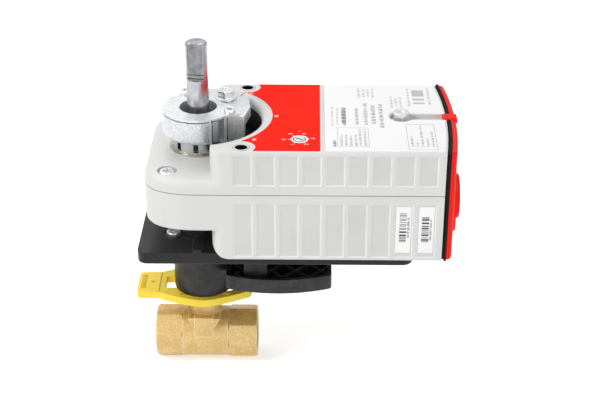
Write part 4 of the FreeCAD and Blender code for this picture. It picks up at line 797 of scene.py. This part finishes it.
bmesh.ops.triangulate(floorPiece, faces=[f for f in floorPiece.faces if len(f.verts) > 4])
finishPiece("wellFloor", floorPiece, "plainBlack", "frame")

# a dark strip of painted shade in the joint between the two housing shells
joint = {"left": 32.3, "radius": housingSide, "corner": 21.0, "right": 154.4, "bulge": 3.6, "outer": -0.03,
         "inner": 1.2, "half": 0.16, "cornerSteps": 16, "sideSteps": 24, "endSteps": 12}


def planOutline(inset):
    radius = joint["radius"] - inset
    left = joint["left"] - inset
    corner = joint["corner"] - inset
    right = joint["right"] - inset
    centreX = corner - left
    centreY = math.sqrt((radius - corner) ** 2 - centreX ** 2)
    meeting = math.pi + math.atan2(centreY, -centreX)
    front = arc(centreX, -centreY, corner, math.pi, meeting, joint["cornerSteps"])
    front += arc(0, 0, radius, meeting, 1.5 * math.pi, joint["sideSteps"])[1:]
    front.append((right, -radius))
    endRadius = (radius ** 2 + joint["bulge"] ** 2) / (2 * joint["bulge"])
    steps = joint["endSteps"]
    end = [(right + joint["bulge"] - endRadius + math.sqrt(endRadius ** 2 - y ** 2), y)
           for y in (radius * (k / steps - 1) for k in range(1, 2 * steps))]
    return front + end + [(x, -y) for x, y in reversed(front)]


seam = bmesh.new()
rings = []
for inset, z in ((joint["outer"], -joint["half"]), (joint["outer"], joint["half"]),
                 (joint["inner"], joint["half"]), (joint["inner"], -joint["half"])):
    rings.append([seam.verts.new(place(x, y, seamHeight + z * mm)) for x, y in planOutline(inset)])
skin(seam, rings + rings[:1])
bmesh.ops.recalc_face_normals(seam, faces=seam.faces)
finishPiece("shellJointShade", seam, "plainBlack", "frame")

# the soft foot where the raised box stands on the hub deck
boxFoot = {"left": 10.2, "corner": 7.0, "radius": 1.7, "steps": 8, "along": (39.35, 42.0, 44.0),
           "turnStep": 5.0, "turns": 6, "fade": 6.6, "deck": 9.0, "sink": 0.3}
for side, sense in (("Front", -1), ("Back", 1)):
    foot = bmesh.new()
    cornerY = housingSide - boxFoot["corner"]
    stations = [((boxFoot["left"], y), (-1.0, 0.0), boxFoot["radius"]) for y in (*boxFoot["along"], cornerY)]
    for k in range(1, boxFoot["turns"] + 1):
        turn = math.radians(boxFoot["turnStep"] * k)
        stations.append(((boxFoot["left"] + boxFoot["corner"] * (1 - math.cos(turn)),
                          cornerY + boxFoot["corner"] * math.sin(turn)),
                         (-math.cos(turn), math.sin(turn)), boxFoot["radius"] * (1 - k / boxFoot["fade"])))
    loops = []
    sink = -boxFoot["sink"]
    for (x, y), (outX, outY), r in stations:
        section = arc(r, r, r, 1.5 * math.pi, math.pi, boxFoot["steps"])
        section += [(sink, r), (sink, sink), (r, sink)]
        loops.append([foot.verts.new(place(x + out * outX, sense * (y + out * outY),
                                           seamHeight + (boxFoot["deck"] + up) * mm)) for out, up in section])
    skin(foot, loops)
    for end in (loops[0], loops[-1]):
        foot.faces.new(end)
    bmesh.ops.recalc_face_normals(foot, faces=foot.faces)
    finishPiece("boxFoot" + side, foot, "housingGrey", "frame")

# the gasket swells out over the edge of the cover
gasketLip = {"shift": 1.15, "growWide": 1.0156, "growTall": 1.0245}
lip = mergedCopy("end_gasket")
middle = Vector((0, 0, sum(corner.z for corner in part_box("end_gasket")) / 2))
moved = Matrix.Translation(middle + Vector((gasketLip["shift"] * mm, 0, 0)))
grown = Matrix.Diagonal((1, gasketLip["growWide"], gasketLip["growTall"], 1))
bmesh.ops.transform(lip, verts=lip.verts, matrix=moved @ grown @ Matrix.Translation(-middle))
finishPiece("gasketLip", lip, "gasketBlack", "frame")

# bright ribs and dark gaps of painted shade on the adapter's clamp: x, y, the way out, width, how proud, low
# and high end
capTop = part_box("adapter_cap")[1].z
clampMarks = {
    "ribs": [(9.05, -21.05, 0.40, -0.92, 1.3, 0.2, -19.6, -0.1),
             (17.9, -14.15, 0.79, -0.62, 1.6, 0.15, -17.6, -1.6)],
    "gaps": [(10.15, -20.5, 0.45, -0.89, 0.5, 0.06, -19.3, -0.4),
             (19.15, -12.55, 0.31, -0.95, 0.55, 0.06, -17.4, -1.6)],
    "line": (-19.3, 12.4, -16.1, 15.4, 0.4, 0.06),
}
for name, surfaceName in (("ribs", "zincCap"), ("gaps", "recessShade")):
    strip = bmesh.new()
    for x, y, outX, outY, wide, proud, low, high in clampMarks[name]:
        slab(strip, place(x, y, capTop + (low + high) / 2 * mm), math.atan2(outY, outX),
             (2 * proud, wide, high - low))
    finishPiece("clamp" + name.capitalize(), strip, surfaceName, "output")
# a dark strip of painted shade under the cap's edge
x0, y0, x1, y1, wide, thick = clampMarks["line"]
gap = bmesh.new()
slab(gap, place((x0 + x1) / 2, (y0 + y1) / 2, capTop), math.atan2(y1 - y0, x1 - x0),
     (math.hypot(x1 - x0, y1 - y0), wide, thick))
finishPiece("capGap", gap, "recessShade", "output")

# raised grip bars and a pull mark on the clip's tab
clipGrip = {"bars": (-42.6, -39.4, 8.0, 9), "wide": 0.95, "ridge": 0.7, "rise": 0.35, "sunk": 0.1,
            "shaft": (-35.3, -33.6, -0.55, 0.55), "head": [(-36.9, 0), (-35.0, -1.8), (-35.0, 1.8)],
            "soft": 0.12, "softFrom": 0.6}
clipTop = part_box("release_clip")[1].z - clipGrip["ridge"] * mm
gripLow, gripHigh = clipTop - clipGrip["sunk"] * mm, clipTop + clipGrip["rise"] * mm
grip = bmesh.new()
x0, x1, half, count = clipGrip["bars"]
for k in range(count):
    y = -half + 2 * half * k / (count - 1)
    bars(grip, [(x0, x1, y - clipGrip["wide"] / 2, y + clipGrip["wide"] / 2)], gripLow, gripHigh)
bars(grip, [clipGrip["shaft"]], gripLow, gripHigh)
arrow = grip.faces.new([grip.verts.new(place(x, y, gripLow)) for x, y in clipGrip["head"]])
raiseFaces(grip, [arrow], gripHigh)
bmesh.ops.bevel(grip, geom=[e for e in grip.edges if e.calc_face_angle(0) > clipGrip["softFrom"]],
                offset=clipGrip["soft"] * mm, offset_type="OFFSET", segments=2, profile=0.5, affect="EDGES",
                clamp_overlap=False, material=-1)
finishPiece("clipGrip", grip, "gripYellow", "clip")
print("small forms added")

# the red index line on the adapter's lobe
indexLine = {"from": (26.2, 20.8), "to": (29.2, 27.6), "width": 0.8, "thick": 0.08}
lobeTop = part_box("adapter_body")[1].z
first, last = (place(*indexLine[end], lobeTop) for end in ("from", "to"))
mark = bmesh.new()
slab(mark, (first + last) / 2, math.atan2(last.y - first.y, last.x - first.x),
     ((last - first).length / mm, indexLine["width"], indexLine["thick"]))
finishPiece("indexLine", mark, "printRed", "output")

# camera, floor and light
cameraPlace = {"location": (0.104584, -0.783028, 0.515738), "turn": (62.1767, -0.1304, 0.5352),
               "lens": 80.536, "sensor": 36.0, "near": 0.05, "far": 50.0}
cameraData = bpy.data.cameras.new("photoCamera")
cameraData.lens = cameraPlace["lens"]
cameraData.sensor_width = cameraPlace["sensor"]
cameraData.clip_start = cameraPlace["near"]
cameraData.clip_end = cameraPlace["far"]
photoCamera = bpy.data.objects.new("photoCamera", cameraData)
photoCamera.location = cameraPlace["location"]
photoCamera.rotation_euler = Euler([math.radians(a) for a in cameraPlace["turn"]], "XYZ")
bpy.context.collection.objects.link(photoCamera)
bpy.context.scene.camera = photoCamera

studio = {
    "floorSize": 4.0, "floorGlow": 0.5, "floorGap": 0.0002, "paper": 0.86, "paperRough": 0.9,
    "zenith": 1.0, "horizon": 0.5, "fade": (-0.1, 0.7), "strength": 0.5,
    "lamps": [
        ("keyLamp", (-0.95, -0.5, 1.05), 0.6, 11.5),
        ("fillLamp", (0.75, -1.0, 0.3), 0.9, 4.0),
        ("lowLamp", (-0.35, -1.15, -0.02), 0.4, 1.3),
        ("backLamp", (-0.25, 0.8, 1.1), 0.7, 4.5),
    ],
}


def makeFloor():
    bm = bmesh.new()
    bmesh.ops.create_grid(bm, x_segments=4, y_segments=4, size=studio["floorSize"] / 2,
                          matrix=Matrix.Translation((stemX, 0, cadLow.z - studio["floorGap"])))
    mesh = bpy.data.meshes.new("studioFloor")
    bm.to_mesh(mesh)
    bm.free()
    floor = bpy.data.objects.new("studioFloor", mesh)
    bpy.context.collection.objects.link(floor)
    paper = bpy.data.materials.new("studioPaper")
    paper.use_nodes = True
    tree = paper.node_tree
    glow = put(tree, "Math", {0: seenRays(tree)[1], 1: studio["floorGlow"]}, operation="MULTIPLY").outputs[0]
    feed(tree, tree.nodes["Principled BSDF"], {
        "Base Color": (*[studio["paper"]] * 3, 1), "Roughness": studio["paperRough"],
        "Emission Color": (1, 1, 1, 1), "Emission Strength": glow})
    mesh.materials.append(paper)


def makeWorld():
    world = bpy.data.worlds.new("studioSky")
    world.use_nodes = True
    tree = world.node_tree
    sky = put(tree, "TexCoord", {}).outputs["Generated"]
    up = put(tree, "SeparateXYZ", {"Vector": sky}).outputs["Z"]
    low, high = studio["fade"]
    level = put(tree, "MapRange", {"Value": up, "From Min": low, "From Max": high,
                                   "To Min": studio["horizon"], "To Max": studio["zenith"]},
                interpolation_type="SMOOTHSTEP")
    level = level.outputs["Result"]
    camera, seen = seenRays(tree)
    white = put(tree, "Mix", {"Factor": camera, 2: level, 3: 1.0}, data_type="FLOAT").outputs[0]
    power = put(tree, "Mix", {"Factor": seen, 2: studio["strength"], 3: 1.0}, data_type="FLOAT").outputs[0]
    feed(tree, tree.nodes["Background"], {"Color": white, "Strength": power})
    bpy.context.scene.world = world


def makeLamps():
    centre = (cadLow + cadHigh) / 2
    for name, offset, size, power in studio["lamps"]:
        data = bpy.data.lights.new(name, "AREA")
        data.shape = "SQUARE"
        data.size = size
        data.energy = power
        lamp = bpy.data.objects.new(name, data)
        lamp.location = centre + Vector(offset)
        lamp.rotation_euler = (-Vector(offset)).to_track_quat("-Z", "Y").to_euler()
        bpy.context.collection.objects.link(lamp)


makeFloor()
makeWorld()
makeLamps()
bpy.context.scene.view_settings.view_transform = "Standard"
print("studio set")
